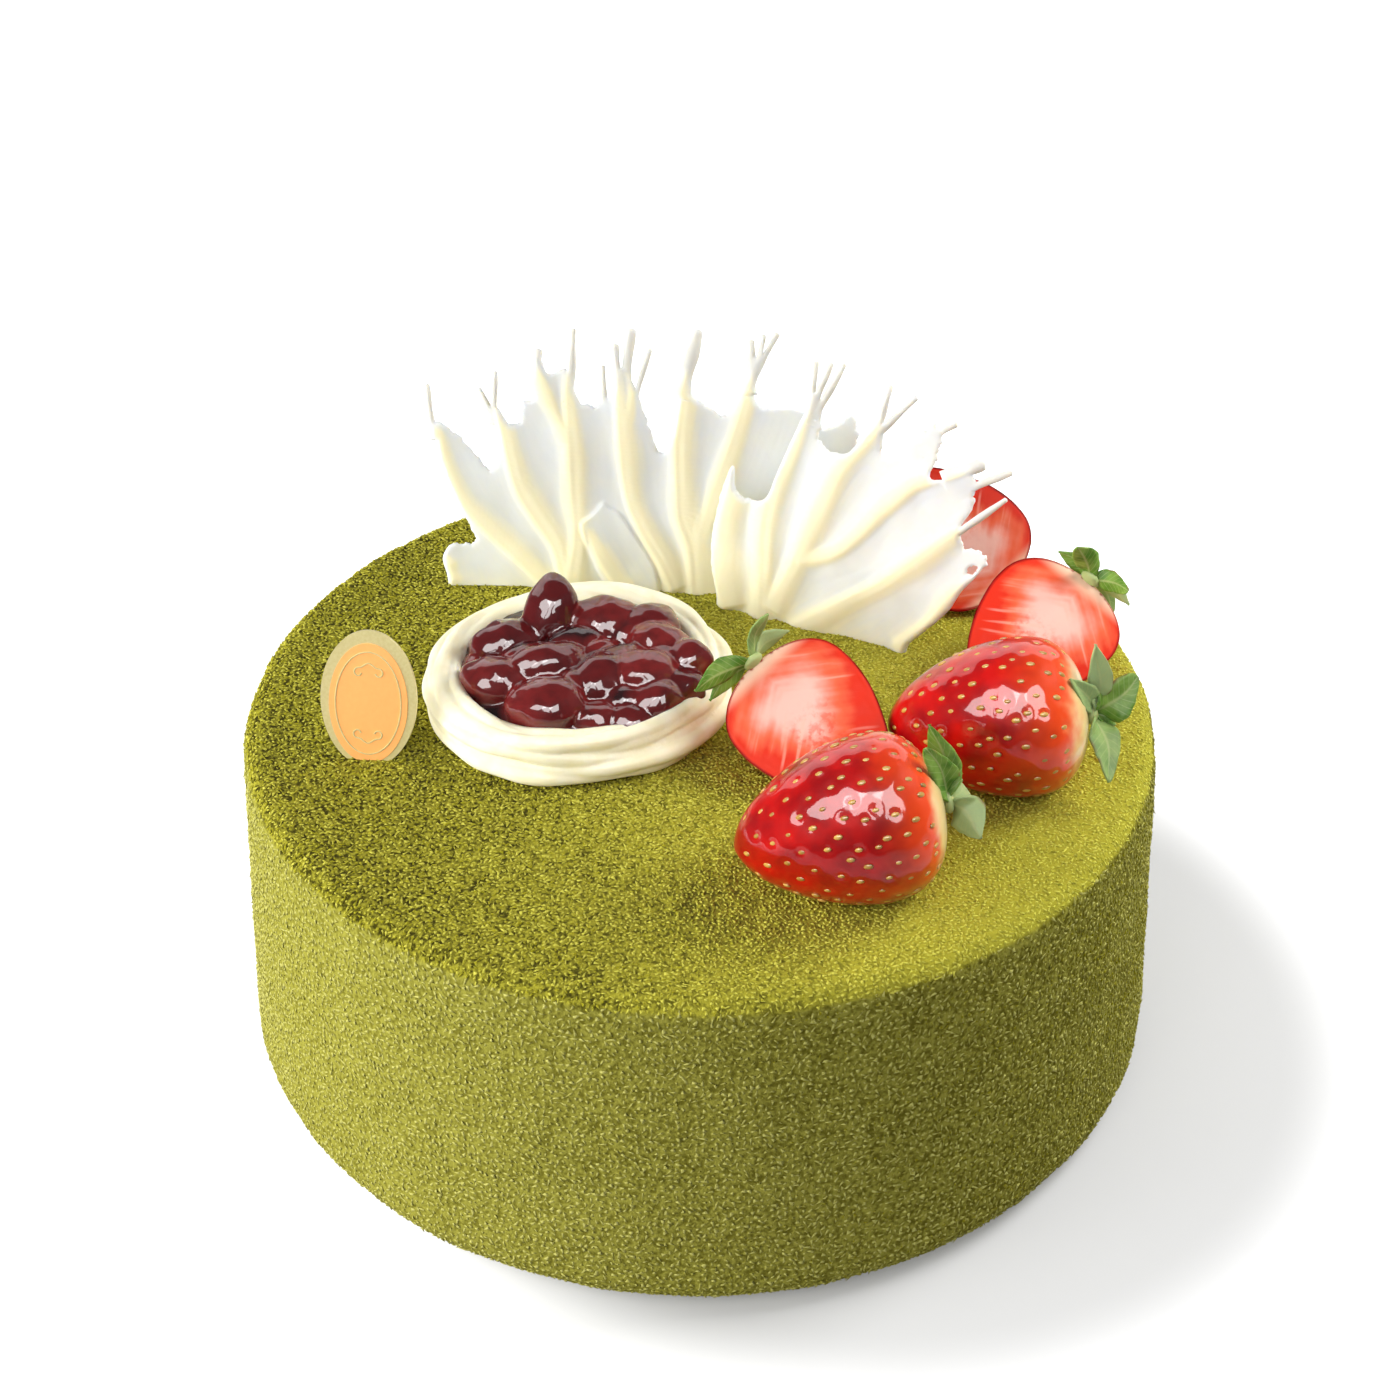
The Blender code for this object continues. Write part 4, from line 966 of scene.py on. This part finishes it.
berryShape = {
    "length": 32.2, "radius": 12.9, "widest": 0.35, "around": 120, "along": 84, "sunk": 1.3,
    "dimple": 0.22, "dimpleWidth": 0.75, "lumps": 0.3, "lumpSize": 9,
    "cutGrain": 0.1, "cutGrainSize": 2.2, "cutEdge": 0.35, "cutEdgeShare": 3,
}
seedShape = {
    "count": 190, "length": 1.4, "width": 0.82, "depth": 0.5, "sunk": 0.16, "sides": 8, "rings": 5,
    "first": 0.1, "last": 0.975, "fromCut": 0.9, "aboveCake": 0.3,
}
berries = [
    {"name": "berryFront", "node": "berry_front", "at": (21.5, -48.9), "heading": 8, "dip": -10, "turn": 0,
     "half": False, "scale": 1.03},
    {"name": "berryRight", "node": "berry_right", "at": (47, -20.8), "heading": -8, "dip": -10, "turn": 0,
     "half": False, "scale": 1.02},
    {"name": "berryHalfFront", "node": "berry_half_front", "at": (19.2, -21.2), "heading": 137, "dip": -24,
     "turn": 60, "half": True, "scale": 0.94},
    {"name": "berryHalfRight", "node": "berry_half_right", "at": (57.5, 5), "heading": 43, "dip": -22,
     "turn": 117, "half": True, "scale": 0.93},
    {"name": "berryHalfBack", "node": "berry_half_back", "at": (45.5, 35), "heading": -36, "dip": 31,
     "turn": 132, "half": True, "scale": 0.9},
]


def berryOutline(share):
    # radius at each share of the way from stalk to tip, as a part of the largest radius
    share = np.asarray(share, float)
    widest = berryShape["widest"]
    near = (1 - np.clip((widest - share) / widest, 0, 1) ** 2.8) ** 0.5
    far = (1 - np.clip((share - widest) / (1 - widest), 0, 1) ** 1.7) ** 0.62
    return np.where(share < widest, near, far)


def berrySurface(share, angle):
    # point and outward direction in the berry's own frame: X to the stalk, a half's cut faces +Y
    length, radius = berryShape["length"], berryShape["radius"]
    r = radius * berryOutline(share)
    slope = radius * (berryOutline(share + 0.004) - berryOutline(share - 0.004)) / (0.008 * length)
    point = np.stack([(0.5 - share) * length, r * np.sin(angle), r * np.cos(angle)], axis=-1)
    normal = np.stack([slope, np.sin(angle), np.cos(angle)], axis=-1)
    return point, normal / np.linalg.norm(normal, axis=-1, keepdims=True)


def berryPlace(berry, points):
    # turned, grown and set down so that its lowest point is sunk into the cake's top
    turn = Matrix.Rotation(math.radians(berry["heading"]), 4, "Z")
    turn = turn @ Matrix.Rotation(math.radians(berry["dip"]), 4, "Y")
    turn = turn @ Matrix.Rotation(math.radians(berry["turn"]), 4, "X") @ Matrix.Scale(berry["scale"], 4)
    lowest = moved(points, turn)[:, 2].min()
    across, along = berry["at"]
    height = cakeTop + (-berryShape["sunk"] - lowest) * mm
    return Matrix.Translation((across * mm, along * mm, height)) @ turn @ Matrix.Scale(mm, 4)


def berryPoints():
    # rings of points from the stalk to the tip, then the two end points
    around, along = berryShape["around"], berryShape["along"]
    shares = 0.5 - 0.5 * np.cos(math.pi * np.arange(1, along) / along)
    angles = 2 * math.pi * np.arange(around) / around
    share, angle = np.meshgrid(shares, angles, indexing="ij")
    points, normals = berrySurface(share.ravel(), angle.ravel())
    end = berryShape["length"] / 2
    return (np.concatenate([points, [[end, 0, 0], [-end, 0, 0]]]),
            np.concatenate([normals, [[1, 0, 0], [-1, 0, 0]]]))


def seedSpots(chance):
    # places along a spiral that spread evenly over the skin
    count = seedShape["count"]
    shares = np.linspace(0, 1, 400)
    area = np.cumsum(berryOutline(shares))
    area = (area - area[0]) / (area[-1] - area[0])
    share = np.interp((np.arange(count) + 0.5) / count, area, shares)
    share = share + np.array([chance.uniform(-0.008, 0.008) for _ in range(count)])
    angle = np.arange(count) * math.pi * (3 - math.sqrt(5))
    angle = angle + np.array([chance.uniform(-0.1, 0.1) for _ in range(count)])
    return berrySurface(np.clip(share, seedShape["first"], seedShape["last"]), angle)


def insetFromSkin(smooth):
    # how far inside the berry's outline each point of the cut face lies
    share = np.linspace(0.001, 0.999, 120)
    radius = berryShape["radius"] * berryOutline(share)
    outline = np.column_stack([(0.5 - share) * berryShape["length"], radius])
    flat = np.column_stack([smooth[:, 0], np.abs(smooth[:, 2])])
    return np.linalg.norm(flat[:, None, :] - outline[None], axis=2).min(axis=1)


def seedTurn(place, normal):
    # a seed points to the tip and lies flat on the skin
    out = (place.to_3x3() @ Vector(normal)).normalized()
    tip = place.to_3x3() @ Vector((-1, 0, 0))
    tip = (tip - out * tip.dot(out)).normalized()
    return Matrix((tip, out.cross(tip), out)).transposed().to_euler()


def makeBerry(berry, index, skin):
    points, normals = berryPoints()
    smooth = points.copy()
    place = berryPlace(berry, points if not berry["half"] else points[points[:, 1] <= 0.01])
    seedPoint, seedNormal = seedSpots(random.Random(40 + index))
    keep = moved(seedPoint, place)[:, 2] > cakeTop + seedShape["aboveCake"] * mm
    if berry["half"]:
        keep &= seedPoint[:, 1] < -seedShape["fromCut"]
    seedPoint, seedNormal = seedPoint[keep], seedNormal[keep]
    apart = np.linalg.norm(points[:, None, :] - seedPoint[None], axis=2)
    dent = np.exp(-(apart / berryShape["dimpleWidth"]) ** 2).sum(axis=1)
    away = Vector((index * 7, 0, 0))
    lumps = np.array([noise.noise(Vector(p) / berryShape["lumpSize"] + away) for p in points])
    points += normals * (berryShape["lumps"] * lumps - berryShape["dimple"] * np.minimum(dent, 1.1))[:, None]
    cut = np.zeros(len(points))
    if berry["half"]:
        cut = (smooth[:, 1] > 1e-4).astype(float)
        grain = np.array([noise.noise(Vector(p) / berryShape["cutGrainSize"]) for p in smooth])
        edge = np.clip(1 - (smooth[:, 1] / berryShape["radius"]) * berryShape["cutEdgeShare"], 0, 1)
        face = berryShape["cutGrain"] * grain - berryShape["cutEdge"] * edge ** 3
        points[:, 1] = np.where(cut > 0, face, points[:, 1])
    rings = ringFaces(berryShape["along"] - 1, berryShape["around"])
    obj = newMesh(berry["name"], moved(points, place), [(f[0], *f[:0:-1]) for f in rings])
    setAttribute(obj, "share", 0.5 - smooth[:, 0] / berryShape["length"])
    setAttribute(obj, "inset", np.where(cut > 0, insetFromSkin(smooth), 0))
    setAttribute(obj, "cut", cut)
    setAttribute(obj, "spot", smooth, "FLOAT_VECTOR")
    setAttribute(obj, "pit", np.minimum(dent, 1))
    finishPiece(obj, skin, "berry", berry["node"])
    obj.data.set_sharp_from_angle(angle=math.radians(50))
    seeds = [(place @ Vector(point - normal * seedShape["sunk"]), seedTurn(place, normal))
             for point, normal in zip(seedPoint, seedNormal)]
    return place, seeds


def swayed(tree, field, amount):
    # noise from 0 to 1 as a shift to both sides of zero
    return calc(tree, "MULTIPLY", calc(tree, "SUBTRACT", field, 0.5), amount)


def skinColour(tree, share, blotch):
    # red with orange pits, paler towards the stalk
    red = mixColour(tree, between(tree, blotch, 0.35, 0.7), (184, 9, 6), (134, 3, 8))
    red = mixColour(tree, calc(tree, "MULTIPLY", attribute(tree, "pit"), 0.3), red, (196, 34, 12))
    neck = calc(tree, "ADD", share, swayed(tree, blotch, 0.2))
    red = mixColour(tree, between(tree, neck, 0.1, 0.42, 1.0, 0.0), red, (224, 68, 20))
    return mixColour(tree, between(tree, neck, 0.02, 0.12, 1.0, 0.0), red, (226, 196, 134))


def fibres(tree, spot):
    # slanting lanes from the core to the skin
    parts = axes(tree, spot)
    lane = calc(tree, "ADD", parts["X"], calc(tree, "MULTIPLY", calc(tree, "ABSOLUTE", parts["Z"]), 0.7))
    lane = calc(tree, "MULTIPLY", lane, 0.5)
    along = calc(tree, "MULTIPLY", parts["Z"], 0.07)
    return spotNoise(tree, addNode(tree, "ShaderNodeCombineXYZ", {"X": lane, "Y": along}).outputs[0], 1, 1.5)


def cutColour(tree, share, spot, fibre):
    # a red band under the skin, then paler flesh with fibres and a speckled pink core
    inset = attribute(tree, "inset")
    depth = calc(tree, "ADD", inset, swayed(tree, spotNoise(tree, spot, 6), 5))
    depth = calc(tree, "ADD", depth, swayed(tree, fibre, 5))
    depth = calc(tree, "ADD", depth, between(tree, share, 0.1, 0.8, 1.6, -5.5))
    flesh = mixColour(tree, between(tree, depth, 0.4, 4.6), (210, 40, 10), (226, 96, 60))
    flesh = mixColour(tree, between(tree, depth, 3.6, 9.5), flesh, (234, 182, 168))
    pale = calc(tree, "MULTIPLY", between(tree, fibre, 0.6, 0.72), between(tree, inset, 0.8, 3.5, 0.0, 0.45))
    flesh = mixColour(tree, pale, flesh, (240, 176, 154))
    core = calc(tree, "MULTIPLY", between(tree, inset, 5.0, 9.0), between(tree, share, 0.3, 0.6))
    core = calc(tree, "MULTIPLY", between(tree, spotNoise(tree, spot, 1.3, 4.0), 0.44, 0.64), core)
    flesh = mixColour(tree, calc(tree, "MULTIPLY", core, 0.7), flesh, (218, 70, 40))
    flesh = mixColour(tree, between(tree, share, 0.02, 0.12, 0.85, 0.0), flesh, (238, 208, 178))
    return mixColour(tree, between(tree, inset, 0.15, 0.6, 1.0, 0.0), flesh, (150, 12, 10))


def berryMaterial():
    material, tree, shader = newMaterial(
        "strawberry", Specular_IOR_Level=0.08, Subsurface_Weight=0.08, Subsurface_Radius=(1, 0.2, 0.12),
        Subsurface_Scale=1.5 * mm, Coat_Roughness=0.06, Coat_IOR=1.5)
    share, spot = attribute(tree, "share"), attribute(tree, "spot", "Vector")
    cut = between(tree, attribute(tree, "cut"), 0.3, 0.6)
    place = objectPlace(tree)
    skin = skinColour(tree, share, spotNoise(tree, place, 7 * mm))
    fibre = fibres(tree, spot)
    paint(tree, shader, mixColour(tree, cut, skin, cutColour(tree, share, spot, fibre)))
    tree.links.new(between(tree, cut, 0.0, 1.0, 1.0, 0.02), shader.inputs["Coat Weight"])
    tree.links.new(between(tree, cut, 0.0, 1.0, 0.35, 0.6), shader.inputs["Roughness"])
    height = calc(tree, "ADD", spotNoise(tree, place, 1.5 * mm), calc(tree, "MULTIPLY", fibre, cut))
    bump(tree, shader, height, 0.09 * mm, 0.5)
    return material


def seedTree():
    # Geometry Nodes: one seed on each point, turned as its turn attribute says
    tree, given = newTree("seedsOnPoints", "GeometryNodeTree", {
        "Geometry": "Geometry", "Length": "Float", "Width": "Float", "Depth": "Float", "Material": "Material",
    }, {"Geometry": "Geometry"})
    ball = addNode(tree, "GeometryNodeMeshUVSphere", {
        "Segments": seedShape["sides"], "Rings": seedShape["rings"], "Radius": 0.5})
    size = addNode(tree, "ShaderNodeCombineXYZ", {
        "X": given["Length"], "Y": given["Width"], "Z": given["Depth"]}).outputs[0]
    chance = randomNumber(tree, 0.8, 1.15, 6)
    scale = addNode(tree, "ShaderNodeVectorMath", {0: size, "Scale": chance}, operation="SCALE").outputs[0]
    placed = addNode(tree, "GeometryNodeInstanceOnPoints", {
        "Points": given["Geometry"], "Instance": ball.outputs["Mesh"],
        "Rotation": namedField(tree, "turn", "FLOAT_VECTOR"), "Scale": scale})
    makeReal(tree, placed, randomNumber(tree, 0.0, 1.0, 9), given["Material"])
    return tree


def makeSeeds(seeds):
    material, tree, shader = newMaterial("berrySeed", Roughness=0.35, Coat_Weight=0.6, Coat_Roughness=0.1)
    paint(tree, shader, mixColour(tree, attribute(tree, "tone"), (156, 112, 38), (194, 152, 68)))
    obj = newMesh("berrySeeds", [point for point, turn in seeds], [])
    setAttribute(obj, "turn", [tuple(turn) for point, turn in seeds], "FLOAT_VECTOR")
    obj = grownOn(obj, seedTree(), {
        "Length": seedShape["length"] * mm, "Width": seedShape["width"] * mm,
        "Depth": seedShape["depth"] * mm, "Material": material})
    finishPiece(obj, material, "berry")


# Leaves: a crown at each stalk

leafShape = {
    "root": 0.8, "thickness": 0.32, "fold": 0.3, "wave": 0.7, "flutter": 0.22,
    "teeth": 0.025, "toothTurns": 26, "along": 26, "aside": 8, "curlShare": 0.3,
    "hub": 2, "hubFlatness": 0.5, "lift": 0.5, "front": (0, -0.8, 0.6),
}
# Each crown: its node, the tone its first leaf starts at, and its leaves
# Each leaf: turn about the stalk, length, width, slant outwards, share opened towards the front
crowns = {
    "berryFront": ("berry_front_leaves", 3, [
        (100, 12, 4.6, -8, 0.8), (76, 12, 4.2, 0, 0.9), (15, 8, 3.4, 12, 0.5), (-20, 7, 4, 30, 0.5),
        (-150, 7, 5.4, 30, 0.9)]),
    "berryRight": ("berry_right_leaves", 0, [
        (84, 11.5, 3.8, 10, 0.85), (110, 9, 3.4, -12, 0.7), (25, 6, 2.6, 10, 0.3), (50, 8.4, 6.2, 58, 1.0),
        (-60, 5, 2.6, 40, 0.8), (-142, 11, 4.6, 14, 0.9)]),
    "berryHalfFront": ("berry_half_front_leaves", 3, [
        (-64, 12.5, 4.2, 8, 0.6), (-94, 9.5, 3.6, 4, 0.7), (44, 9, 2.8, 20, 0.3), (100, 8, 4, 6, 0.3)]),
    "berryHalfRight": ("berry_half_right_leaves", 2, [
        (-27, 9.5, 4.6, -4, 0.8), (55, 8, 4, 8, 0.9), (-84, 7, 3.4, 3, 0.7), (137, 9, 3.4, 12, 0.8),
        (99, 8, 3, 16, 0.4)]),
    "berryHalfBack": ("berry_half_back_leaves", 2, [
        (-60, 6, 4, 20, 0), (-110, 6, 4, 16, 0), (50, 5, 4, 25, 0), (-170, 5, 4, 20, 0)]),
}


def leafSheet(place, turn, length, width, slant, opened, index):
    # a pointed sheet, folded along its middle and twisted so that it opens towards the front
    along, aside = leafShape["along"], leafShape["aside"]
    around = Matrix.Rotation(math.radians(turn), 4, "X") @ Matrix.Rotation(math.radians(-slant), 4, "Z")
    front = (place.to_3x3().normalized() @ around.to_3x3()).inverted() @ Vector(leafShape["front"])
    twist = opened * math.atan(-front.z / front.x)
    points, faces, marks = [], [], []
    for i in range(along + 1):
        t = i / along
        outline = math.sin(math.pi * (t * 0.95 + 0.05) ** 0.85) ** 0.65 * (1.08 - 0.2 * t) + 0.02
        curled = twist * min(1, t / leafShape["curlShare"])
        for j in range(aside + 1):
            s = 2 * j / aside - 1
            teeth = 1 + leafShape["teeth"] * math.sin(leafShape["toothTurns"] * t + index) * abs(s) ** 3
            side = s * width / 2 * outline * teeth
            fold = leafShape["fold"] * abs(side)
            wave = leafShape["wave"] * math.sin(math.pi * 1.3 * t)
            wave += leafShape["flutter"] * math.sin(6 * t + 2 * s + index)
            out = fold * math.cos(curled) + side * math.sin(curled) + wave
            side = side * math.cos(curled) - fold * math.sin(curled)
            points.append((out, leafShape["root"] + t * length, side))
            marks.append((t, s, index))
    for i in range(along):
        for j in range(aside):
            a = i * (aside + 1) + j
            faces.append((a, a + 1, a + aside + 2, a + aside + 1))
    obj = newMesh("leaf", points, faces)
    setAttribute(obj, "leafMark", marks, "FLOAT_VECTOR")
    wall = obj.modifiers.new("wall", "SOLIDIFY")
    wall.thickness = leafShape["thickness"]
    wall.offset = 0
    obj = plainMesh(obj)
    obj.data.transform(around)
    return obj


def leafHub():
    work = bmesh.new()
    bmesh.ops.create_uvsphere(work, u_segments=16, v_segments=10, radius=leafShape["hub"])
    for vertex in work.verts:
        vertex.co.z *= leafShape["hubFlatness"]
    bmesh.ops.rotate(work, verts=work.verts, cent=(0, 0, 0), matrix=Matrix.Rotation(math.pi / 2, 3, "Y"))
    return fromBmesh("hub", work)


def makeCrown(berry, place, material):
    node, first, leaves = crowns[berry["name"]]
    parts = [leafSheet(place, *leaf, first + i) for i, leaf in enumerate(leaves)]
    obj = joined(berry["name"] + "Leaves", parts + [leafHub()])
    obj.data.transform(place @ Matrix.Translation((berryShape["length"] / 2 + leafShape["lift"], 0, 0)))
    finishPiece(obj, material, "leaf", node)


def leafMaterial():
    # green with a pale middle line and side veins, and some leaves paler than others
    material, tree, shader = newMaterial("berryLeaf", Roughness=0.55, Subsurface_Weight=0.1,
                                         Subsurface_Scale=1 * mm, Specular_IOR_Level=0.25)
    place = objectPlace(tree)
    marks = axes(tree, attribute(tree, "leafMark", "Vector"))
    side = calc(tree, "ABSOLUTE", marks["Y"])
    patch = between(tree, spotNoise(tree, place, 3 * mm), 0.3, 0.7)
    colour = mixColour(tree, patch, (70, 116, 22), (122, 154, 62))
    paler = between(tree, calc(tree, "COSINE", marks["Z"]), -0.3, 1.0, 0.0, 0.75)
    colour = mixColour(tree, paler, colour, (164, 180, 128))
    colour = mixColour(tree, between(tree, side, 0.0, 0.16, 0.5, 0.0), colour, (176, 184, 122))
    slant = calc(tree, "ADD", calc(tree, "MULTIPLY", marks["X"], 26), calc(tree, "MULTIPLY", side, -5))
    vein = calc(tree, "ABSOLUTE", calc(tree, "SINE", slant))
    colour = mixColour(tree, between(tree, vein, 0.0, 0.35, 0.45, 0.0), colour, (160, 174, 108))
    dry = between(tree, spotNoise(tree, place, 4 * mm, 2.0), 0.55, 0.7)
    brown = calc(tree, "MULTIPLY", between(tree, side, 0.8, 1.0), dry)
    paint(tree, shader, mixColour(tree, brown, colour, (120, 86, 40)))
    bump(tree, shader, spotNoise(tree, place, 0.8 * mm, 2.0), 0.08 * mm)
    return material


# Tag: an oval card with a bright edge, a raised orange oval, a thin oval line and two scrolls

tag = {
    "width": 16.4, "height": 23.5, "thickness": 0.8, "sunk": 1.6, "at": (-55.6, -16.4), "yaw": -8, "lean": 20,
    "steps": 96, "cardBevel": 0.18, "panelBevel": 0.08, "bevelSteps": 3,
    "panelWidth": 13.4, "panelHeight": 20.6, "panelDrop": 0.7, "panelRise": 0.14,
    "lineWidth": 11.2, "lineHeight": 17.6, "lineThickness": 0.14, "lineSides": 6,
    "scrollWidth": 2.6, "scrollPlace": 6.1, "scrollThickness": 1.1, "scrollSteps": 48,
}


def ovalPoints(width, height, drop=0.0):
    return [(width / 2 * math.cos(a), height / 2 * math.sin(a) + drop)
            for a in np.linspace(0, 2 * math.pi, tag["steps"], endpoint=False)]


def ovalSlab(name, width, height, low, high, bevel, drop=0.0):
    points = ovalPoints(width, height, drop)
    work = bmesh.new()
    lower = [work.verts.new((x, y, low)) for x, y in points]
    upper = [work.verts.new((x, y, high)) for x, y in points]
    work.faces.new(lower[::-1])
    work.faces.new(upper)
    for i in range(len(points)):
        j = (i + 1) % len(points)
        work.faces.new((lower[i], lower[j], upper[j], upper[i]))
    rim = [e for e in work.edges if abs(e.verts[0].co.z - e.verts[1].co.z) < 1e-6]
    bmesh.ops.bevel(work, geom=rim, offset=bevel, segments=tag["bevelSteps"], affect="EDGES")
    return fromBmesh(name, work)


def scrollLine(flip):
    # a low arch in the middle whose two arms curl under
    size, steps, middle = tag["scrollWidth"], tag["scrollSteps"], 0.4
    line = []
    for i in range(steps + 1):
        t = i / steps * 2 - 1
        if abs(t) < middle:
            x = 0.62 * abs(t / middle)
            y = 0.3 * math.cos(math.pi * t / middle) * 0.5 + 0.15
        else:
            far = (abs(t) - middle) / 0.6
            x = 0.62 + 0.38 * math.sin(4.2 * far) * (1 - 0.5 * far)
            y = -0.38 * (1 - math.cos(4.2 * far)) * (1 - 0.4 * far)
        line.append((math.copysign(x, t) * size, y * size * flip))
    return line


def tagMaterial(name, grain, dark, light, **values):
    material, tree, shader = newMaterial(name, **values)
    paint(tree, shader, mixColour(tree, spotNoise(tree, objectPlace(tree), grain * mm, 2.0), dark, light))
    return material


def makeTag():
    half = tag["thickness"] / 2
    face = half + tag["panelRise"]
    drop = -tag["panelDrop"]
    card = ovalSlab("tagCard", tag["width"], tag["height"], -half, half, tag["cardBevel"])
    panel = ovalSlab("tagPanel", tag["panelWidth"], tag["panelHeight"], 0, face, tag["panelBevel"], drop)
    oval = [(x, y, face) for x, y in ovalPoints(tag["lineWidth"], tag["lineHeight"], drop)]
    thin = tag["lineThickness"]
    lines = [tube("ovalLine", oval, [thin] * len(oval), tag["lineSides"], closed=True)]
    for flip in (1, -1):
        scroll = [(x, y + drop + flip * tag["scrollPlace"], face) for x, y in scrollLine(flip)]
        lines.append(tube("scroll", scroll, [thin * tag["scrollThickness"]] * len(scroll), tag["lineSides"]))
    relief = joined("tagLines", lines)
    turn = Matrix.Rotation(math.radians(tag["yaw"]), 4, "Z")
    turn = turn @ Matrix.Rotation(math.radians(90 - tag["lean"]), 4, "X")
    place = Matrix.Translation((tag["at"][0] * mm, tag["at"][1] * mm, cakeTop)) @ turn
    place = place @ Matrix.Translation((0, (tag["height"] / 2 - tag["sunk"]) * mm, 0)) @ Matrix.Scale(mm, 4)
    gold = tagMaterial("champagneCard", 0.5, (212, 196, 130), (232, 220, 164), Metallic=0.45, Roughness=0.36)
    orange = tagMaterial("orangePanel", 0.8, (248, 166, 84), (254, 178, 96), Roughness=0.5)
    for obj, material, nodes in ((card, gold, ["tag"]), (panel, orange, []), (relief, gold, [])):
        obj.data.transform(place)
        finishPiece(obj, material, "gold_card", *nodes)
        obj.data.set_sharp_from_angle(angle=math.radians(35))


# Stage: white floor, soft lights and the camera, with its sizes and places in metres

stage = {
    "target": (0, 0, 0.063), "camera": (0, -0.3493, 0.3121), "lens": 36 * 2480 / 1400, "worldLight": 0.12,
    "floorSize": 6, "floorDrop": 0.0002, "floorTone": 0.5,
    "glowInPaintedShadow": 0.155, "farGlow": 0.9, "paintedShadowSpan": (0.074, 0.104), "shadowShift": (-0.031, 0.011, 0),
}
# Each light: azimuth and elevation, distance, width and height, glow, and what it lights
lights = {
    "keyLeft": (185, 14, 0.8, 0.8, 0.5, 9.4, "diffuse"),
    "rightBack": (20, 16, 0.8, 0.5, 0.5, 3.2, "diffuse"),
    "rightTop": (8, 42, 0.32, 0.16, 0.16, 12.0, "diffuse"),
    "frontFill": (-125, 25, 0.8, 0.6, 0.5, 3.0, "diffuse"),
    "frontHigh": (-95, 45, 0.8, 0.6, 0.5, 0.8, "diffuse"),
    "windowLeft": (-138, 52, 0.8, 0.34, 0.5, 9.0, "glossy"),
    "windowMiddle": (-103, 52, 0.8, 0.32, 0.5, 9.0, "glossy"),
    "windowRight": (-60, 52, 0.8, 0.42, 0.5, 9.0, "glossy"),
    "backHaze": (92, 30, 0.8, 1.4, 0.5, 1.5, "glossy"),
}


def makeLight(name, azimuth, elevation, distance, width, height, glow, lit):
    data = bpy.data.lights.new(name, "AREA")
    data.shape = "RECTANGLE"
    data.size, data.size_y = width, height
    data.energy = glow * math.pi * width * height
    lamp = addObject(name, data)
    around, up = math.radians(azimuth), math.radians(elevation)
    outwards = Vector((math.cos(up) * math.cos(around), math.cos(up) * math.sin(around), math.sin(up)))
    lamp.location = Vector(stage["target"]) + outwards * distance
    lamp.rotation_euler = outwards.to_track_quat("Z", "Y").to_euler()
    lamp.visible_diffuse = lit == "diffuse"
    lamp.visible_glossy = lit == "glossy"
    lamp.visible_camera = False


def makeCamera():
    data = bpy.data.cameras.new("camera")
    data.sensor_width = 36
    data.lens = stage["lens"]
    data.clip_start = 0.01
    camera = addObject("camera", data)
    camera.location = stage["camera"]
    camera.rotation_euler = (Vector(stage["target"]) - camera.location).to_track_quat("-Z", "Y").to_euler()
    bpy.context.scene.camera = camera


def makeFloor():
    # it glows for the camera alone, and more so away from the cake; the weaker glow near the cake, shifted to
    # its right and front, is a painted shadow on the floor
    half, low = stage["floorSize"] / 2, -stage["floorDrop"]
    corners = [(-half, -half, low), (half, -half, low), (half, half, low), (-half, half, low)]
    material, tree, shader = newMaterial(
        "whiteFloor", Base_Color=(stage["floorTone"],) * 3, Roughness=0.9, Emission_Color=(1, 1, 1))
    floor = newMesh("floor", corners, [(0, 1, 2, 3)])
    floor.data.materials.append(material)
    seen = addNode(tree, "ShaderNodeLightPath").outputs["Is Camera Ray"]
    shift = {0: objectPlace(tree), 1: stage["shadowShift"]}
    shifted = addNode(tree, "ShaderNodeVectorMath", shift).outputs[0]
    away = addNode(tree, "ShaderNodeVectorMath", {0: shifted}, operation="LENGTH").outputs["Value"]
    # painted shadow: the glow drops near the cake, off to its right and front
    glow = between(tree, away, *stage["paintedShadowSpan"], stage["glowInPaintedShadow"], stage["farGlow"])
    tree.links.new(calc(tree, "MULTIPLY", seen, glow), shader.inputs["Emission Strength"])


def makeStage():
    scene = bpy.context.scene
    scene.view_settings.view_transform = "Standard"
    scene.world = bpy.data.worlds.new("studio")
    scene.world.use_nodes = True
    background = scene.world.node_tree.nodes["Background"]
    background.inputs["Color"].default_value = (1, 1, 1, 1)
    background.inputs["Strength"].default_value = stage["worldLight"]
    makeCamera()
    for name, values in lights.items():
        makeLight(name, *values)
    makeFloor()


makeStage()
print("stage ready")
makeCake()
print("cake ready")
chocolate = chocolateMaterial()
makeFan(leftFan, chocolate)
makeFan(rightFan, chocolate)
print("fans ready")
makeNest()
print("nest ready")
makeBeans()
print("beans ready")
skin = berryMaterial()
green = leafMaterial()
allSeeds = []
for number, berry in enumerate(berries):
    place, seeds = makeBerry(berry, number, skin)
    allSeeds += seeds
    makeCrown(berry, place, green)
makeSeeds(allSeeds)
print("berries ready")
makeTag()
print("tag ready")
